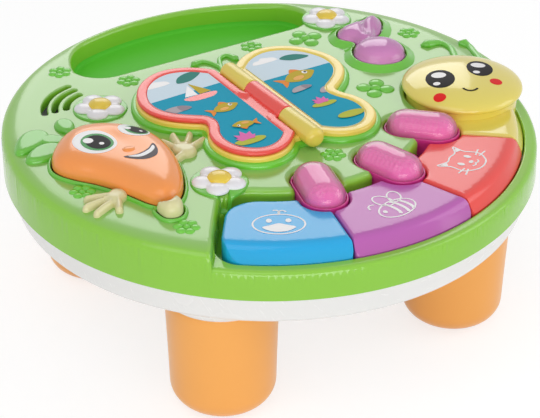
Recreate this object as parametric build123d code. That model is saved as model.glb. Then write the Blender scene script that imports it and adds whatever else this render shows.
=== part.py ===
from build123d import *
import math
import os

os.makedirs("parts", exist_ok=True)

# A toddler's round musical activity table. Millimetres, +Z up, origin on the floor under the
# middle of the table. The child sits at -Y. Directions on the fan of keys are given as a bearing
# in degrees: 0 is the front (-Y), and it grows towards +X.

# ---- driving dimensions: shells ----
table_r = 190.0          # outer radius at the seam between the two shells
seam_z = 115.5           # height of that seam above the floor
deck_rise = 33.0         # deck above the seam
wall = 2.6               # moulded wall of both shells
lip_rise = 3.0           # rebate of the base that stands inside the top shell
seat_gap = 0.3           # clearance between parts that are fixed to each other
move_gap = 0.8           # clearance around a part that moves
slope_wide = 18.0        # from the seam circle in to where the soft slope begins
shoulder_wide = 5.2      # from the seam circle in to the end of the slope
shoulder_drop = 1.2
side_lean = 0.3          # how far the nearly upright side leans in
side_drop = 7.2
base_depth = 22.5        # white base below the seam
base_taper = 7.0         # the underside is this much inside the seam circle
base_inset = 0.5         # the base stands in this much from the green side

# ---- legs ----
leg_inset = 53.0         # from the seam circle in to the middle of a leg
leg_top_r = 38.5
leg_foot_r = 36.5
foot_round = 16.0
socket_drop = 5.8        # white collar below the base around each leg
spigot_r = 31.2
spigot_len = 19.0
leg_post_r = 4.5

# ---- storage tray ----
tray_depth = 18.0
tray_rim = 9.0           # from the seam circle in to the outer wall of the tray
tray_left = -90.0
tray_right = 109.5
tray_near = 108.5        # straight wall towards the book
tray_near_corner = 24.0
tray_left_corner = 28.0
tray_right_corner = 12.0
tub_wall = 2.2

# ---- keyboard pocket ----
fan_centre = 1.2         # bearing of the middle key
key_pitch = 30.5         # degrees from key to key
pocket_in_r = 109.5
pocket_rim = 9.8         # from the seam circle in to the open front of the pocket
pocket_depth = 23.5
pocket_corner = 24.0
end_swing = 10.0         # degrees by which the left end of the keyboard turns in from a radius
end_reach = 26.5         # distance of that end wall from a parallel line through the centre
end_gap = 4.5            # from that wall to the blue key
ledge_drop = 12.5        # the rim in front of the keys is this much below the deck
ledge_round = 3.6
ledge_round_wide = 3.2   # how far in that round edge begins
ledge_lean = 0.8         # lean of the low side below it
key_in_r = 116.5
key_front_gap = 1.0      # front of a key behind the front of the pocket
key_skirt = 5.0          # bottom edge of a key above the pocket floor
key_top_drop = 1.6       # crown of a key below the deck
key_wall = 2.2
key_slack = 0.5          # taken off each side of a key
key_corner = 3.0
key_end_corner = 15.0    # front corner of the blue key at that end
key_end_bend = 24.0      # its inner corner
hinge_r = 122.5          # radius at which a key is pinned
hinge_rise = 9.5         # hinge pin above the pocket floor
pin_r = 1.5
pin_run = 0.08           # running clearance of the pin in a key's ears
ear_out = 9.5
post_out = 5.6
ear_thick = 3.0
key_tilt = 3.5           # degrees a key goes down
stem_at_r = 150.0
stem_r = 4.0
stem_gap = 1.3
barb_r = 6.3
barb_thick = 1.5

# ---- light pills between the keys ----
pill_len = 50.0
pill_wide = 28.5
pill_at_r = 108.5
pill_top = 9.6           # above the deck
pill_round = 9.0
pill_wall = 2.0
press_travel = 2.2       # travel of every push button

# ---- smiling bug head button ----
head_x = 134.5
head_y = -46.5
head_r = 43.5
head_skirt_r = 40.5
head_edge = 5.2          # widest line of the head above the deck
head_top = 14.5

# ---- radish button ----
radish_x = 115.0
radish_y = 30.0
radish_r = 19.0
radish_edge = 5.0        # side of the button above the deck
radish_top = 12.5
radish_round = 7.0
collar_rise = 4.0
collar_wide = 7.5

# ---- carrot button ----
carrot_top = 15.0
carrot_round = 5.0
pad_rise = 2.6
pad_wide = 4.0
carrot_tip_r = 8.0

# ---- butterfly book ----
book_x = -2.5            # the hinge line runs along Y here
boss_rise = 3.5
boss_wide = 3.6
book_base = 3.5          # thickness of the yellow base
page_thick = 3.5
page_gap = 0.2           # air between base and page
page_inset = 0.8         # the page is this much smaller than the base
frame_wide = 7.5
spine_frame = 9.5
print_deep = 0.8
print_thick = 0.5
spine_r = 7.2
spine_top = 57.0
spine_bottom = -66.0
knuckle_top = 20.0
knuckle_bottom = -26.0
knuckle_gap = 0.4
book_pin_r = 1.6

# ---- flowers, hands ----
flower_r = 18.3
daisy_r = 7.5            # raised pads of the small moulded flowers
clover_r = 9.5
petal_r = 7.4
eye_r = 8.2
petal_rise = 4.6
flower_pad = 1.2
hand_rise = 5.0

# ---- speaker ----
speaker_x = -122.0
speaker_y = 93.0
speaker_r = 23.0
slot_centre = (-99.0, 69.0)
slot_wide = 4.4

# ---- electronics ----
board_gap = 6.5          # below the pocket floor
board_thick = 1.6
pad_high = 2.2           # switch pad, drawn at its pressed height
pad_slack = 0.3
stem_tip_gap = press_travel + pad_slack
led_r = 2.5
led_high = 5.0
small_board_drop = 24.0  # bottom of the small boards below the deck

# ---- battery box ----
cell_r = 7.1
cell_len = 50.0
cell_pitch = 14.8
cell_count = 3
door_x = 64.0
door_y = 58.0
door_thick = 2.4
door_hinge_gap = 1.6
tab_out = 2.5
tab_thick = 0.8
box_wall = 2.0

# ---- fasteners ----
screw_r = 1.45
screw_head_r = 3.2
screw_head_high = 2.4
screw_len = 12.0
screw_play = 0.05
boss_r = 4.6
base_boss_r = 5.4
base_boss_high = 17.5
boss_inset = 18.0        # from the seam circle in to the shell screws
shell_boss_bearings = (0, 92, 180, 248, 292)
counterbore_r = 3.9
counterbore_deep = 13.5

# ---- power switch ----
switch_y = 55.0
switch_travel = 4.0

# ---- worked out from the above ----
deck_flat_r = table_r - slope_wide
shoulder_r = table_r - shoulder_wide
side_r = table_r - side_lean
base_bottom_r = table_r - base_taper
leg_circle_r = table_r - leg_inset
tray_outer_r = table_r - tray_rim
pocket_out_r = table_r - pocket_rim
key_out_r = pocket_out_r - key_front_gap
deck_z = seam_z + deck_rise
deck_under = deck_z - wall
small_board_z = deck_z - small_board_drop
base_z = seam_z - base_depth
collar_z = base_z - socket_drop
floor_z = deck_z - pocket_depth
floor_under = floor_z - tub_wall
ledge_z = deck_z - ledge_drop
tray_z = deck_z - tray_depth
board_top = floor_under - board_gap
fan_start = fan_centre - 1.5 * key_pitch
fan_end = fan_start + 4 * key_pitch
key_bearings = [fan_centre - key_pitch, fan_centre, fan_centre + key_pitch]
pill_bearings = [fan_start + (n + 1) * key_pitch for n in range(3)]
key_bottom = floor_z + key_skirt
pin_z = floor_z + hinge_rise
stem_tip_z = board_top + pad_high + stem_tip_gap
small_tip_z = small_board_z + pad_high + stem_tip_gap
book_boss_z = deck_z + boss_rise
book_top_z = book_boss_z + book_base
page_z = book_top_z + page_gap
spine_z = page_z + page_thick / 2
far = 400.0              # longer than anything in the model


def bearing_xy(r, bearing):
    a = math.radians(bearing)
    return (r * math.sin(a), -r * math.cos(a))


def write(shape, name):
    export_step(shape, f"parts/{name}.step")


def slab(face, z0, z1):
    """Face in the XY plane, extruded from z0 to z1."""
    return Pos(0, 0, z0) * extrude(face, z1 - z0)


def rod(x, y, r, z0, z1):
    return Pos(x, y, z0) * Cylinder(r, z1 - z0, align=(Align.CENTER, Align.CENTER, Align.MIN))


def block(x0, x1, y0, y1, z0, z1):
    centre = Pos((x0 + x1) / 2, (y0 + y1) / 2, (z0 + z1) / 2)
    return centre * Box(x1 - x0, y1 - y0, z1 - z0)


def turn_profile(edges):
    """Closed half profile in XZ, turned about Z."""
    return revolve(make_face(edges), Axis.Z)


def fan_face(r0, r1, b0, b1):
    """Piece of a ring between two radii and two bearings."""
    mid = (b0 + b1) / 2
    return make_face([
        Line(bearing_xy(r0, b0), bearing_xy(r1, b0)),
        ThreePointArc(bearing_xy(r1, b0), bearing_xy(r1, mid), bearing_xy(r1, b1)),
        Line(bearing_xy(r1, b1), bearing_xy(r0, b1)),
        ThreePointArc(bearing_xy(r0, b1), bearing_xy(r0, mid), bearing_xy(r0, b0)),
    ])


def fan_place(bearing):
    """Local frame at the table's centre: +X runs out along the bearing."""
    return Rot(0, 0, bearing - 90)


def side_point(r, bearing, shift):
    """Point at radius r on the radial line moved sideways by shift."""
    a = math.radians(bearing)
    along = math.sqrt(r * r - shift * shift)
    return (along * math.sin(a) + shift * math.cos(a), -along * math.cos(a) + shift * math.sin(a))


def fan_piece(r0, r1, b0, b1, side):
    """Piece of a ring whose straight sides are moved outwards by side."""
    mid = (b0 + b1) / 2
    a, b = side_point(r0, b0, -side), side_point(r1, b0, -side)
    c, d = side_point(r1, b1, side), side_point(r0, b1, side)
    return make_face([Line(a, b), ThreePointArc(b, bearing_xy(r1, mid), c),
                      Line(c, d), ThreePointArc(d, bearing_xy(r0, mid), a)])


def corner(face, x, y, reach=4.0):
    """Corner vertices of a face that lie near a point."""
    return [v for v in face.vertices() if math.hypot(v.X - x, v.Y - y) < reach]


def round_corners(face, radius):
    return fillet(face.vertices(), radius)


def disc(x, y, r):
    return Pos(x, y) * Circle(r)


def radial_slot(r, bearing, length, width):
    """Slot with its long axis on a bearing."""
    x, y = bearing_xy(r, bearing)
    return Pos(x, y) * Rot(0, 0, bearing - 90) * SlotOverall(length, width)


def grown(points, amount):
    """Closed outline moved outwards along its normals."""
    count = len(points)
    area = sum(points[n][0] * points[(n + 1) % count][1] - points[(n + 1) % count][0] * points[n][1]
               for n in range(count))
    turn = 1 if area > 0 else -1
    moved = []
    for n in range(count):
        ax, ay = points[n - 1]
        bx, by = points[(n + 1) % count]
        dx, dy = bx - ax, by - ay
        size = math.hypot(dx, dy)
        moved.append((points[n][0] + turn * amount * dy / size,
                      points[n][1] - turn * amount * dx / size))
    return moved


def blob(points, amount=0.0):
    """Face with a smooth closed outline through the points, grown by amount."""
    return make_face([Spline(*grown(points, amount), periodic=True)])


def rounded_top(face, z0, z1, radius):
    """Extrusion with its top edges rounded."""
    body = slab(face, z0, z1)
    return fillet(body.edges().group_by(Axis.Z)[-1], radius)


# ---- outlines, plan view ----
radish_bulb = [(115, 10.5), (103.5, 14.5), (96, 24.5), (96, 35), (101.5, 45), (108, 50.5),
               (108.5, 56), (103.5, 64), (104.5, 71.5), (111, 78.5), (122, 81), (134, 83.5),
               (143.5, 85.5), (148, 81.5), (146.5, 73.5), (141, 65), (134, 57.5), (128.5, 54), (131.5, 49),
               (135.5, 41), (135.5, 30), (130, 18), (123.5, 12.5)]
radish_leaf = [(111, 50), (109.5, 57), (105.5, 64.5), (106.5, 71), (112, 76.5), (122, 79),
               (133, 81), (141.5, 82.5), (145.5, 79.5), (144, 73), (138.5, 65.5), (131.5, 59.5),
               (124.5, 50), (118, 45)]
carrot_body = [(-168, 3), (-163, 14), (-152, 26.5), (-142, 33), (-132, 35.5), (-121, 33), (-109, 26),
               (-99, 15), (-93.5, 3), (-91.5, -11), (-92.5, -26), (-95.5, -40), (-100.5, -54),
               (-107.5, -67), (-116, -76), (-126, -78), (-133, -71), (-138, -59), (-143.5, -45),
               (-152, -30), (-161, -18), (-167, -7)]
wing = [(7.2, 59.5), (17.5, 69.5), (27.5, 75.5), (38.5, 78.5), (49.5, 77.5), (60.5, 72.5),
        (70, 64), (77, 53), (81, 41), (81.2, 29), (77.8, 18), (71, 8.5), (62, 0.5), (54.8, -5.5),
        (56, -13), (60.5, -22), (62.7, -32), (62, -42), (58.8, -51), (53, -58.5), (45, -64),
        (36, -66.3), (26.5, -65), (17, -60), (7.2, -50.5)]
leaf_lobes = [(-165, 45, 17, 12.5, 35), (-163.5, 26, 15.5, 12, 15), (-135, 53, 10.5, 8.5, 80)]
daisies = [(-101, 133), (-64, 94), (42, 95.5), (-163, -31), (-126, -104.5), (4, -76), (158, 52.5)]
clovers = [(84.5, 86), (83.5, -10.5)]
flowers = [(-101.5, 65.5), (-80.5, -67.5), (117, 106)]
hand_left = [(-149, -51, 8.5), (-158, -47, 3.6), (-164, -45, 3.4), (-160, -53, 3.7), (-168, -54, 3.6),
             (-157, -59, 3.7), (-165, -64, 3.5), (-153, -66, 3.5)]
hand_right = [(-80, -22, 8.5), (-86, -11, 3.6), (-88, -4, 3.4), (-79, -9, 3.7), (-78, -1, 3.5),
              (-72, -12, 3.6), (-68, -5, 3.4), (-68, -18, 3.5), (-63, -15, 3.3)]


# ---- shells ----
def rz(r, z):
    return (r, 0, z)


def rim_solid(inset=0.0, bottom=seam_z):
    """Filled body of the green shell, its outside moved inwards by inset."""
    start = rz(deck_flat_r, deck_z - inset)
    slope = TangentArc(start, rz(shoulder_r - 0.4 * inset, deck_z - shoulder_drop - inset),
                       tangent=(1, 0, 0))
    shoulder = TangentArc(slope @ 1, rz(side_r - inset, deck_z - side_drop - 0.4 * inset),
                          tangent=slope % 1)
    side = Line(shoulder @ 1, rz(table_r - inset, seam_z))
    low = Line(side @ 1, rz(table_r - inset, bottom)) if bottom < seam_z else None
    edges = [Line(rz(0, bottom), rz(0, deck_z - inset)), Line(rz(0, deck_z - inset), start),
             slope, shoulder, side]
    if low:
        edges.append(low)
    edges.append(Line(edges[-1] @ 1, rz(0, bottom)))
    return turn_profile(edges)


def ledge_solid(inset=0.0, bottom=seam_z):
    """Filled body under the low rim in front of the keys."""
    top = ledge_z - inset
    outer = table_r - ledge_lean
    start = rz(outer - ledge_round_wide - 0.6 * inset, top)
    curve = TangentArc(start, rz(outer - inset, ledge_z - ledge_round - 0.4 * inset),
                       tangent=(1, 0, 0))
    side = Line(curve @ 1, rz(table_r - inset, seam_z))
    edges = [Line(rz(0, bottom), rz(0, top)), Line(rz(0, top), start), curve, side]
    if bottom < seam_z:
        edges.append(Line(side @ 1, rz(table_r - inset, bottom)))
    edges.append(Line(edges[-1] @ 1, rz(0, bottom)))
    return turn_profile(edges)


def end_point(r, reach):
    """Where the line of the keyboard's left end, reach from the centre, meets a radius."""
    a = math.radians(fan_start + end_swing)
    along = math.sqrt(r ** 2 - reach ** 2)
    return (along * math.sin(a) - reach * math.cos(a), -along * math.cos(a) - reach * math.sin(a))


def ended_fan(r0, r1, b1, side, reach):
    """Fan from the keyboard's left end to bearing b1."""
    fan = fan_piece(r0, r1, fan_start - end_swing, b1, side)
    turn = Rot(0, 0, fan_start + end_swing)
    return fan & (turn * Pos(far / 2 - reach, 0) * Rectangle(far, 2 * far))


def pocket_face(grow=0.0):
    """Keyboard pocket: the fan, the round head and the pill slots."""
    reach = end_reach + grow
    face = ended_fan(pocket_in_r - grow, pocket_out_r + grow, fan_end, 3.0 + grow, reach)
    face = fillet(corner(face, *end_point(pocket_in_r - grow, reach)), pocket_corner + grow)
    face = fillet(corner(face, *end_point(pocket_out_r + grow, reach)), key_end_corner + 2 + grow)
    head = disc(head_x, head_y, head_skirt_r + move_gap + grow) & disc(0, 0, pocket_out_r + grow)
    face = face + head
    for bearing in pill_bearings:
        face = face + radial_slot(pill_at_r, bearing, pill_len + 2 * (bezel_out + grow),
                                  pill_wide + 2 * (bezel_out + grow))
    return face


bezel_gap = move_gap
bezel_thick = 1.4
bezel_out = bezel_gap - 0.6 + bezel_thick + seat_gap   # hole in the deck beyond the pill's plan


def tray_face(grow=0.0):
    """Storage tray at the far side."""
    x0, x1, y0 = tray_left - grow, tray_right + grow, tray_near - grow
    box = make_face(Polyline((x0, y0), (x1, y0), (x1, 220), (x0, 220), close=True))
    face = box & disc(0, 0, tray_outer_r + grow)
    low = [v for v in face.vertices() if v.Y < y0 + 1]
    face = fillet(low, tray_near_corner + grow)
    face = fillet([v for v in face.vertices() if v.Y > 140 and v.X < 0], tray_left_corner + grow)
    return fillet([v for v in face.vertices() if v.Y > 140 and v.X > 0], tray_right_corner + grow)


def wing_points(side):
    """Butterfly wing: side is -1 for the left wing and 1 for the right one."""
    return [(book_x + side * x, y) for x, y in wing]


def wing_face(side, amount=0.0, inner=0.0):
    """One wing, grown by amount; its inner edge is straight and inner beyond the hinge line."""
    points = grown(wing_points(side), amount)
    x = book_x + side * inner
    first, last = (x, points[0][1]), (x, points[-1][1])
    return make_face([Spline(*points), Line(points[-1], last), Line(last, first),
                      Line(first, points[0])])


def book_face(amount=0.0):
    return wing_face(-1, amount) + wing_face(1, amount)


book_boss_spots = [(-62, 22), (62, 40)]
shell_boss_spots = [bearing_xy(table_r - boss_inset, b) for b in shell_boss_bearings] + book_boss_spots
board_post_spots = [bearing_xy(156, b) for b in pill_bearings] + [
    bearing_xy(114, b) for b in (key_bearings[0], key_bearings[2], fan_start + 3.5 * key_pitch)]
pill_stems = [bearing_xy(pill_at_r, b) for b in pill_bearings]
key_stems = [bearing_xy(stem_at_r, b) for b in key_bearings]
head_stem = (head_x, head_y)
led_spots = [bearing_xy(pill_at_r + 11, b) for b in pill_bearings] + [
    (head_x - 9, head_y + 9), (head_x + 9, head_y - 9)]
radish_stem = (radish_x, radish_y)
carrot_stem = (-127, -8)
small_boards = {"radish": (*radish_stem, 62, 18), "carrot": (*carrot_stem, 100.6, 20)}


def small_board_posts(x, y, long, wide):
    return [(x - long / 2 + 4, y), (x + long / 2 - 4, y)]


def emboss():
    """Low raised shapes of the green deck."""
    body = None
    for x, y in daisies:
        part = rod(x, y, daisy_r, deck_z - 1, deck_z + 0.9)
        body = part if body is None else body + part
    for x, y in clovers:
        body += rod(x, y, clover_r, deck_z - 1, deck_z + 1.1)
    for x, y in flowers:
        body += rod(x, y, flower_r + 1.2, deck_z - 1, deck_z + flower_pad)
    for x, y, a, b, turn in leaf_lobes:
        lobe = Pos(x, y) * Rot(0, 0, turn) * Ellipse(a, b)
        body += (slab(lobe, deck_z - 12, deck_z + 3.4) & rim_solid(-3.4)) - rim_solid(1.2)
    body += slab(blob(carrot_body, pad_wide), deck_z - 1, deck_z + pad_rise)
    return body


def collar():
    """Stepped green collar around the radish."""
    low = disc(radish_x + 0.5, radish_y + 1, radish_r + collar_wide) + blob(radish_leaf, 6.0)
    high = blob(radish_bulb, 2.6)
    return slab(low, deck_z - 1, deck_z + 1.4) + slab(high, deck_z - 0.5, deck_z + collar_rise)


def top_shell():
    recess = ended_fan(120, 230, fan_end, 3.0, end_reach)
    recess_in = ended_fan(120, 230, fan_end, 3.0 + wall, end_reach + wall)
    outer = rim_solid() - slab(recess, seam_z - 1, far)
    outer += ledge_solid() & slab(recess, seam_z - 1, far)
    inner = rim_solid(wall) - slab(recess_in, seam_z - 1, far)
    inner += ledge_solid(wall) & slab(recess_in, seam_z - 1, far)
    shell = outer - inner
    # tub walls of the pocket and the tray, and the raised shapes
    shell += slab(pocket_face(tub_wall), floor_under, far) & outer
    shell += slab(tray_face(tub_wall), tray_z - tub_wall, far) & rim_solid()
    shell += emboss()
    shell += collar()
    shell += slab(book_face(boss_wide), deck_under, book_boss_z)
    shell -= slab(book_face(boss_wide - wall), deck_under - 5, book_boss_z - wall)
    # speaker ring
    ring = rod(speaker_x, speaker_y, speaker_r + seat_gap + 2, deck_under - 2.8, deck_under + 1)
    shell += ring - rod(speaker_x, speaker_y, speaker_r + seat_gap, deck_under - 6, deck_under + 1)
    for x, y in speaker_posts():
        shell += rod(x, y, 3.2, speaker_flange_z, deck_under + 1)
    # screw bosses, board posts
    for x, y in shell_boss_spots:
        top = book_boss_z - 1 if (x, y) in book_boss_spots else deck_under + 1
        shell += rod(x, y, boss_r, base_z + base_boss_high + seat_gap, top)
    for x, y in board_post_spots:
        shell += rod(x, y, 3.2, board_top, floor_under + 1)
    for spot in small_boards.values():
        for x, y in small_board_posts(*spot):
            shell += rod(x, y, 3.2, small_board_z, deck_under + 1)
    # cavities
    shell -= slab(pocket_face(), floor_z, far)
    shell -= slab(tray_face(), tray_z, far)
    shell -= slab(blob(radish_bulb, move_gap), deck_under - 3, far)
    shell -= slab(blob(carrot_body, move_gap), deck_under - 3, far)
    for radius, a0, a1 in speaker_slots:
        shell -= slab(arc_slot(speaker_centre, radius, a0, a1, slot_wide), deck_under - 1, far)
    # key hinge posts
    for bearing in key_bearings:
        for side in (-1, 1):
            shell += fan_place(bearing) * block(
                hinge_r - 3, hinge_r + 3, side * post_out - ear_thick / 2,
                side * post_out + ear_thick / 2, floor_z - 1, pin_z + 3)
        shell -= pin_bar(bearing, pin_r, 30)
    # holes for stems, lights and screws
    for x, y in key_stems:
        shell -= rod(x, y, stem_r + stem_gap, floor_under - 1, floor_z + 1)
    for x, y in pill_stems + [head_stem]:
        shell -= rod(x, y, stem_r + move_gap, floor_under - 1, floor_z + 1)
    for x, y in led_spots:
        shell -= rod(x, y, led_r + 0.6, floor_under - 1, floor_z + 1)
    for x, y in shell_boss_spots:
        shell -= rod(x, y, screw_r, base_z, base_z + counterbore_deep + screw_len)
    for x, y in board_post_spots:
        shell -= rod(x, y, screw_r, board_top - 1, floor_under - 0.4)
    for spot in small_boards.values():
        for x, y in small_board_posts(*spot):
            shell -= rod(x, y, screw_r, small_board_z - 1, small_board_z + 9)
    for x, y in speaker_posts():
        shell -= rod(x, y, screw_r, speaker_flange_z - 1, deck_under + 1.2)
    for x, y in flowers:
        shell -= rod(x, y, eye_peg_r + 0.2, deck_under - 1, far)
    for x, y in book_pegs:
        shell -= rod(x, y, book_peg_r + 0.2, deck_under - 3, far)
    # room for the turning knuckle of the page
    shell -= along_y(book_x, knuckle_bottom - 1, knuckle_top + 1, spine_z, spine_r + 0.6)
    return shell


def along_y(x, y0, y1, z, r):
    """Round bar along Y."""
    return Pos(x, (y0 + y1) / 2, z) * Rot(90, 0, 0) * Cylinder(r, y1 - y0)


def pin_bar(bearing, r, length):
    """Round bar across a key at its hinge."""
    x, y = bearing_xy(hinge_r, bearing)
    return Pos(x, y, pin_z) * Rot(0, 0, bearing) * Rot(0, 90, 0) * Cylinder(r, length)


def arc_slot(centre, radius, a0, a1, width):
    """Curved slot with round ends, angles in degrees from +X."""
    cx, cy = centre

    def at(r, a):
        t = math.radians(a)
        return (cx + r * math.cos(t), cy + r * math.sin(t))
    r0, r1, mid = radius - width / 2, radius + width / 2, (a0 + a1) / 2
    band = make_face([Line(at(r0, a0), at(r1, a0)), ThreePointArc(at(r1, a0), at(r1, mid), at(r1, a1)),
                      Line(at(r1, a1), at(r0, a1)), ThreePointArc(at(r0, a1), at(r0, mid), at(r0, a0))])
    return band + disc(*at(radius, a0), width / 2) + disc(*at(radius, a1), width / 2)


speaker_centre = slot_centre
speaker_slots = [(24.8, 103, 157), (32.9, 100, 162), (40.6, 100, 165)]
speaker_top = deck_under - 0.9
speaker_flange_z = speaker_top - 2.2
eye_peg_r = 4.0
book_peg_r = 3.0
book_pegs = [(-52, 50), (-42, -45), (47, 50), (37, -45)]


def speaker_posts():
    return [(speaker_x + 29 * math.cos(math.radians(a)), speaker_y + 29 * math.sin(math.radians(a)))
            for a in (200, 20)]


# ---- base ----
leg_spots = {"leg_front_left": (-1, -1), "leg_front_right": (1, -1),
             "leg_rear_left": (-1, 1), "leg_rear_right": (1, 1)}
leg_at = leg_circle_r / math.sqrt(2)
socket_r = spigot_r + seat_gap
socket_top = collar_z + spigot_len + seat_gap
floor_in = base_z + wall
recess_x = door_x / 2
recess_y = door_y / 2
cells_x = cell_len / 2 + 2.0
cells_y = cell_count * cell_pitch / 2 + 0.6
cell_z = floor_in + cell_r + 0.2
box_roof = cell_z + cell_r + 0.4
door_ear_x = door_x / 2 + 4
door_ear_r = 6.0
door_thread = 5.0
tab_spots = [-17.0, 17.0]
tab_wide = 9.0
slot_x = 7.5
slot_y = 3.4


def base_profile(inset):
    """Filled body of the white base."""
    bottom = base_z + inset
    start = rz(base_bottom_r - 5 - 0.4 * inset, bottom)
    low = TangentArc(start, rz(base_bottom_r + 0.6 - inset, base_z + 5 + 0.4 * inset),
                     tangent=(1, 0, 0))
    side = Line(low @ 1, rz(table_r - base_inset - inset, seam_z))
    return turn_profile([Line(rz(0, bottom), start), low, side, Line(side @ 1, rz(0, seam_z)),
                         Line(rz(0, seam_z), rz(0, bottom))])


def collar_profile():
    """Round white collar around the top of a leg, filled."""
    edges = [Line(rz(0, collar_z), rz(leg_top_r + 0.6, collar_z))]
    edges.append(TangentArc(edges[-1] @ 1, rz(leg_top_r + 3.2, base_z + 1), tangent=(1, 0, 0.6)))
    edges.append(Line(edges[-1] @ 1, rz(0, base_z + 1)))
    edges.append(Line(edges[-1] @ 1, rz(0, collar_z)))
    return turn_profile(edges)


def base_shell():
    shell = base_profile(0) - base_profile(wall) - slab(Circle(table_r), seam_z - 0.001, far)
    lip_out = table_r - wall - seat_gap - 0.2
    shell += (rod(0, 0, lip_out, seam_z - 5, seam_z + lip_rise)
              - rod(0, 0, lip_out - 2, seam_z - 6, far))
    for sx, sy in leg_spots.values():
        spot = Pos(sx * leg_at, sy * leg_at, 0)
        shell += spot * collar_profile()
        shell += rod(sx * leg_at, sy * leg_at, socket_r + wall, base_z, socket_top + wall)
        shell -= rod(sx * leg_at, sy * leg_at, socket_r, collar_z - 1, socket_top)
        shell -= rod(sx * leg_at, sy * leg_at, screw_r + 0.3, socket_top - 1, far)
    for x, y in shell_boss_spots:
        shell += rod(x, y, base_boss_r, base_z, base_z + base_boss_high)
        shell -= rod(x, y, counterbore_r, base_z - 1, base_z + counterbore_deep)
        shell -= rod(x, y, screw_r + 0.3, base_z, far)
    # battery box: a ledge around the door, walls and a roof around the cells
    edge = 2.0
    shell += block(-recess_x - door_hinge_gap - edge, recess_x + edge, -recess_y - edge,
                   recess_y + edge, base_z, floor_in + 2)
    shell += block(-cells_x - box_wall, cells_x + box_wall, -cells_y - box_wall, cells_y + box_wall,
                   floor_in, box_roof + box_wall)
    shell += rod(door_ear_x, 0, door_ear_r + 2.4, base_z, floor_in + 2)
    shell += rod(door_ear_x, 0, 4.5, base_z, floor_in + door_thread + 2)
    shell -= block(-recess_x - door_hinge_gap, recess_x + seat_gap, -recess_y - seat_gap,
                   recess_y + seat_gap, base_z - 1, floor_in)
    shell -= rod(door_ear_x, 0, door_ear_r + seat_gap, base_z - 1, floor_in)
    shell -= block(-cells_x, cells_x, -cells_y, cells_y, floor_in - 1, box_roof)
    shell -= rod(door_ear_x, 0, screw_r + 0.6, base_z, floor_in + door_thread + 0.6)
    for y in tab_spots:
        shell -= block(-recess_x - door_hinge_gap - 3.4, -recess_x + 3, y - tab_wide / 2 - 0.6,
                       y + tab_wide / 2 + 0.6, base_z + 1.0, floor_in + 5)
    # power switch slot and its two pegs
    shell -= block(-slot_x, slot_x, switch_y - slot_y, switch_y + slot_y, base_z - 1, floor_in + 1)
    return shell


def leg():
    mouth = rz(spigot_r - wall, collar_z + spigot_len)
    floor = rz(leg_foot_r - wall - 6, 3.0)
    foot = Line(rz(0, 0), rz(leg_foot_r - foot_round + 3, 0))
    heel = TangentArc(foot @ 1, rz(leg_foot_r, foot_round), tangent=(1, 0, 0))
    side = Line(heel @ 1, rz(leg_top_r, collar_z))
    step = Line(side @ 1, rz(spigot_r, collar_z))
    spigot = Line(step @ 1, rz(spigot_r, collar_z + spigot_len))
    rim = Line(spigot @ 1, mouth)
    neck = Line(mouth, rz(spigot_r - wall, collar_z - 3))
    inside = Line(neck @ 1, rz(leg_foot_r - wall - 3.5, foot_round + 2))
    sole = Line(inside @ 1, floor)
    last = Line(floor, rz(0, 3.0))
    body = turn_profile([foot, heel, side, step, spigot, rim, neck, inside, sole, last,
                         Line(rz(0, 3.0), rz(0, 0))])
    body += rod(0, 0, leg_post_r, 1, collar_z + spigot_len)
    for a in (0, 90):
        web = block(-leg_foot_r + 6, leg_foot_r - 6, -0.9, 0.9, 2, collar_z - 25)
        body += Rot(0, 0, a) * web
    return body - rod(0, 0, screw_r, collar_z + spigot_len - 14, far)


def screw(x, y, z, length, up=True, head_r=screw_head_r):
    """Pan-head screw whose head seats at z and whose thread runs up (or down)."""
    way = 1 if up else -1
    thread = rod(x, y, screw_r, min(z, z + way * length), max(z, z + way * length))
    head = rod(x, y, head_r, min(z, z - way * screw_head_high), max(z, z - way * screw_head_high))
    end = z - way * screw_head_high
    cross = None
    for a in (0, 90):
        bar = Pos(x, y, end) * Rot(0, 0, a) * Box(0.8, 3.4, 2.0)
        cross = bar if cross is None else cross + bar
    return head + thread - cross


# ---- keys ----
def key_profile(inset, low):
    """Filled body under the crown of the keys."""
    front_z = ledge_z - 0.4
    crown = deck_z - key_top_drop
    nose = Line(rz(key_out_r - inset, low), rz(key_out_r - inset, front_z - 0.3 * inset))
    face = Line(nose @ 1, rz(key_out_r - 3.4 - inset, crown - 5.2 - 0.5 * inset))
    brow = TangentArc(face @ 1, rz(key_out_r - 11, crown - inset), tangent=face % 1)
    top = Line(brow @ 1, rz(key_in_r - 20, crown - 2.4 - inset))
    return turn_profile([nose, face, brow, top, Line(top @ 1, rz(0, crown - 2.4 - inset)),
                         Line(rz(0, crown - 2.4 - inset), rz(0, low)),
                         Line(rz(0, low), nose @ 0)])


def key_face(bearing, shrink, first=False):
    b0, b1 = bearing - key_pitch / 2, bearing + key_pitch / 2
    small = max(key_corner - shrink, 0.8)
    if first:
        reach = end_reach - end_gap - shrink
        face = ended_fan(key_in_r + shrink, key_out_r - shrink, b1, -key_slack - shrink, reach)
        for r, round_r in ((key_in_r + shrink, key_end_bend), (key_out_r - shrink, key_end_corner)):
            face = fillet(corner(face, *end_point(r, reach)), round_r - shrink)
    else:
        face = fan_piece(key_in_r + shrink, key_out_r - shrink, b0, b1, -key_slack - shrink)
        for r in (key_in_r + shrink, key_out_r - shrink):
            face = fillet(corner(face, *side_point(r, b0, key_slack + shrink)), small)
    for r in (key_in_r + shrink, key_out_r - shrink):
        face = fillet(corner(face, *side_point(r, b1, -key_slack - shrink)), small)
    for spot in pill_bearings:
        if abs(spot - bearing) < key_pitch:
            grow = bezel_out - seat_gap + move_gap + shrink
            face -= radial_slot(pill_at_r, spot, pill_len + 2 * grow, pill_wide + 2 * grow)
    return face


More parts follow.
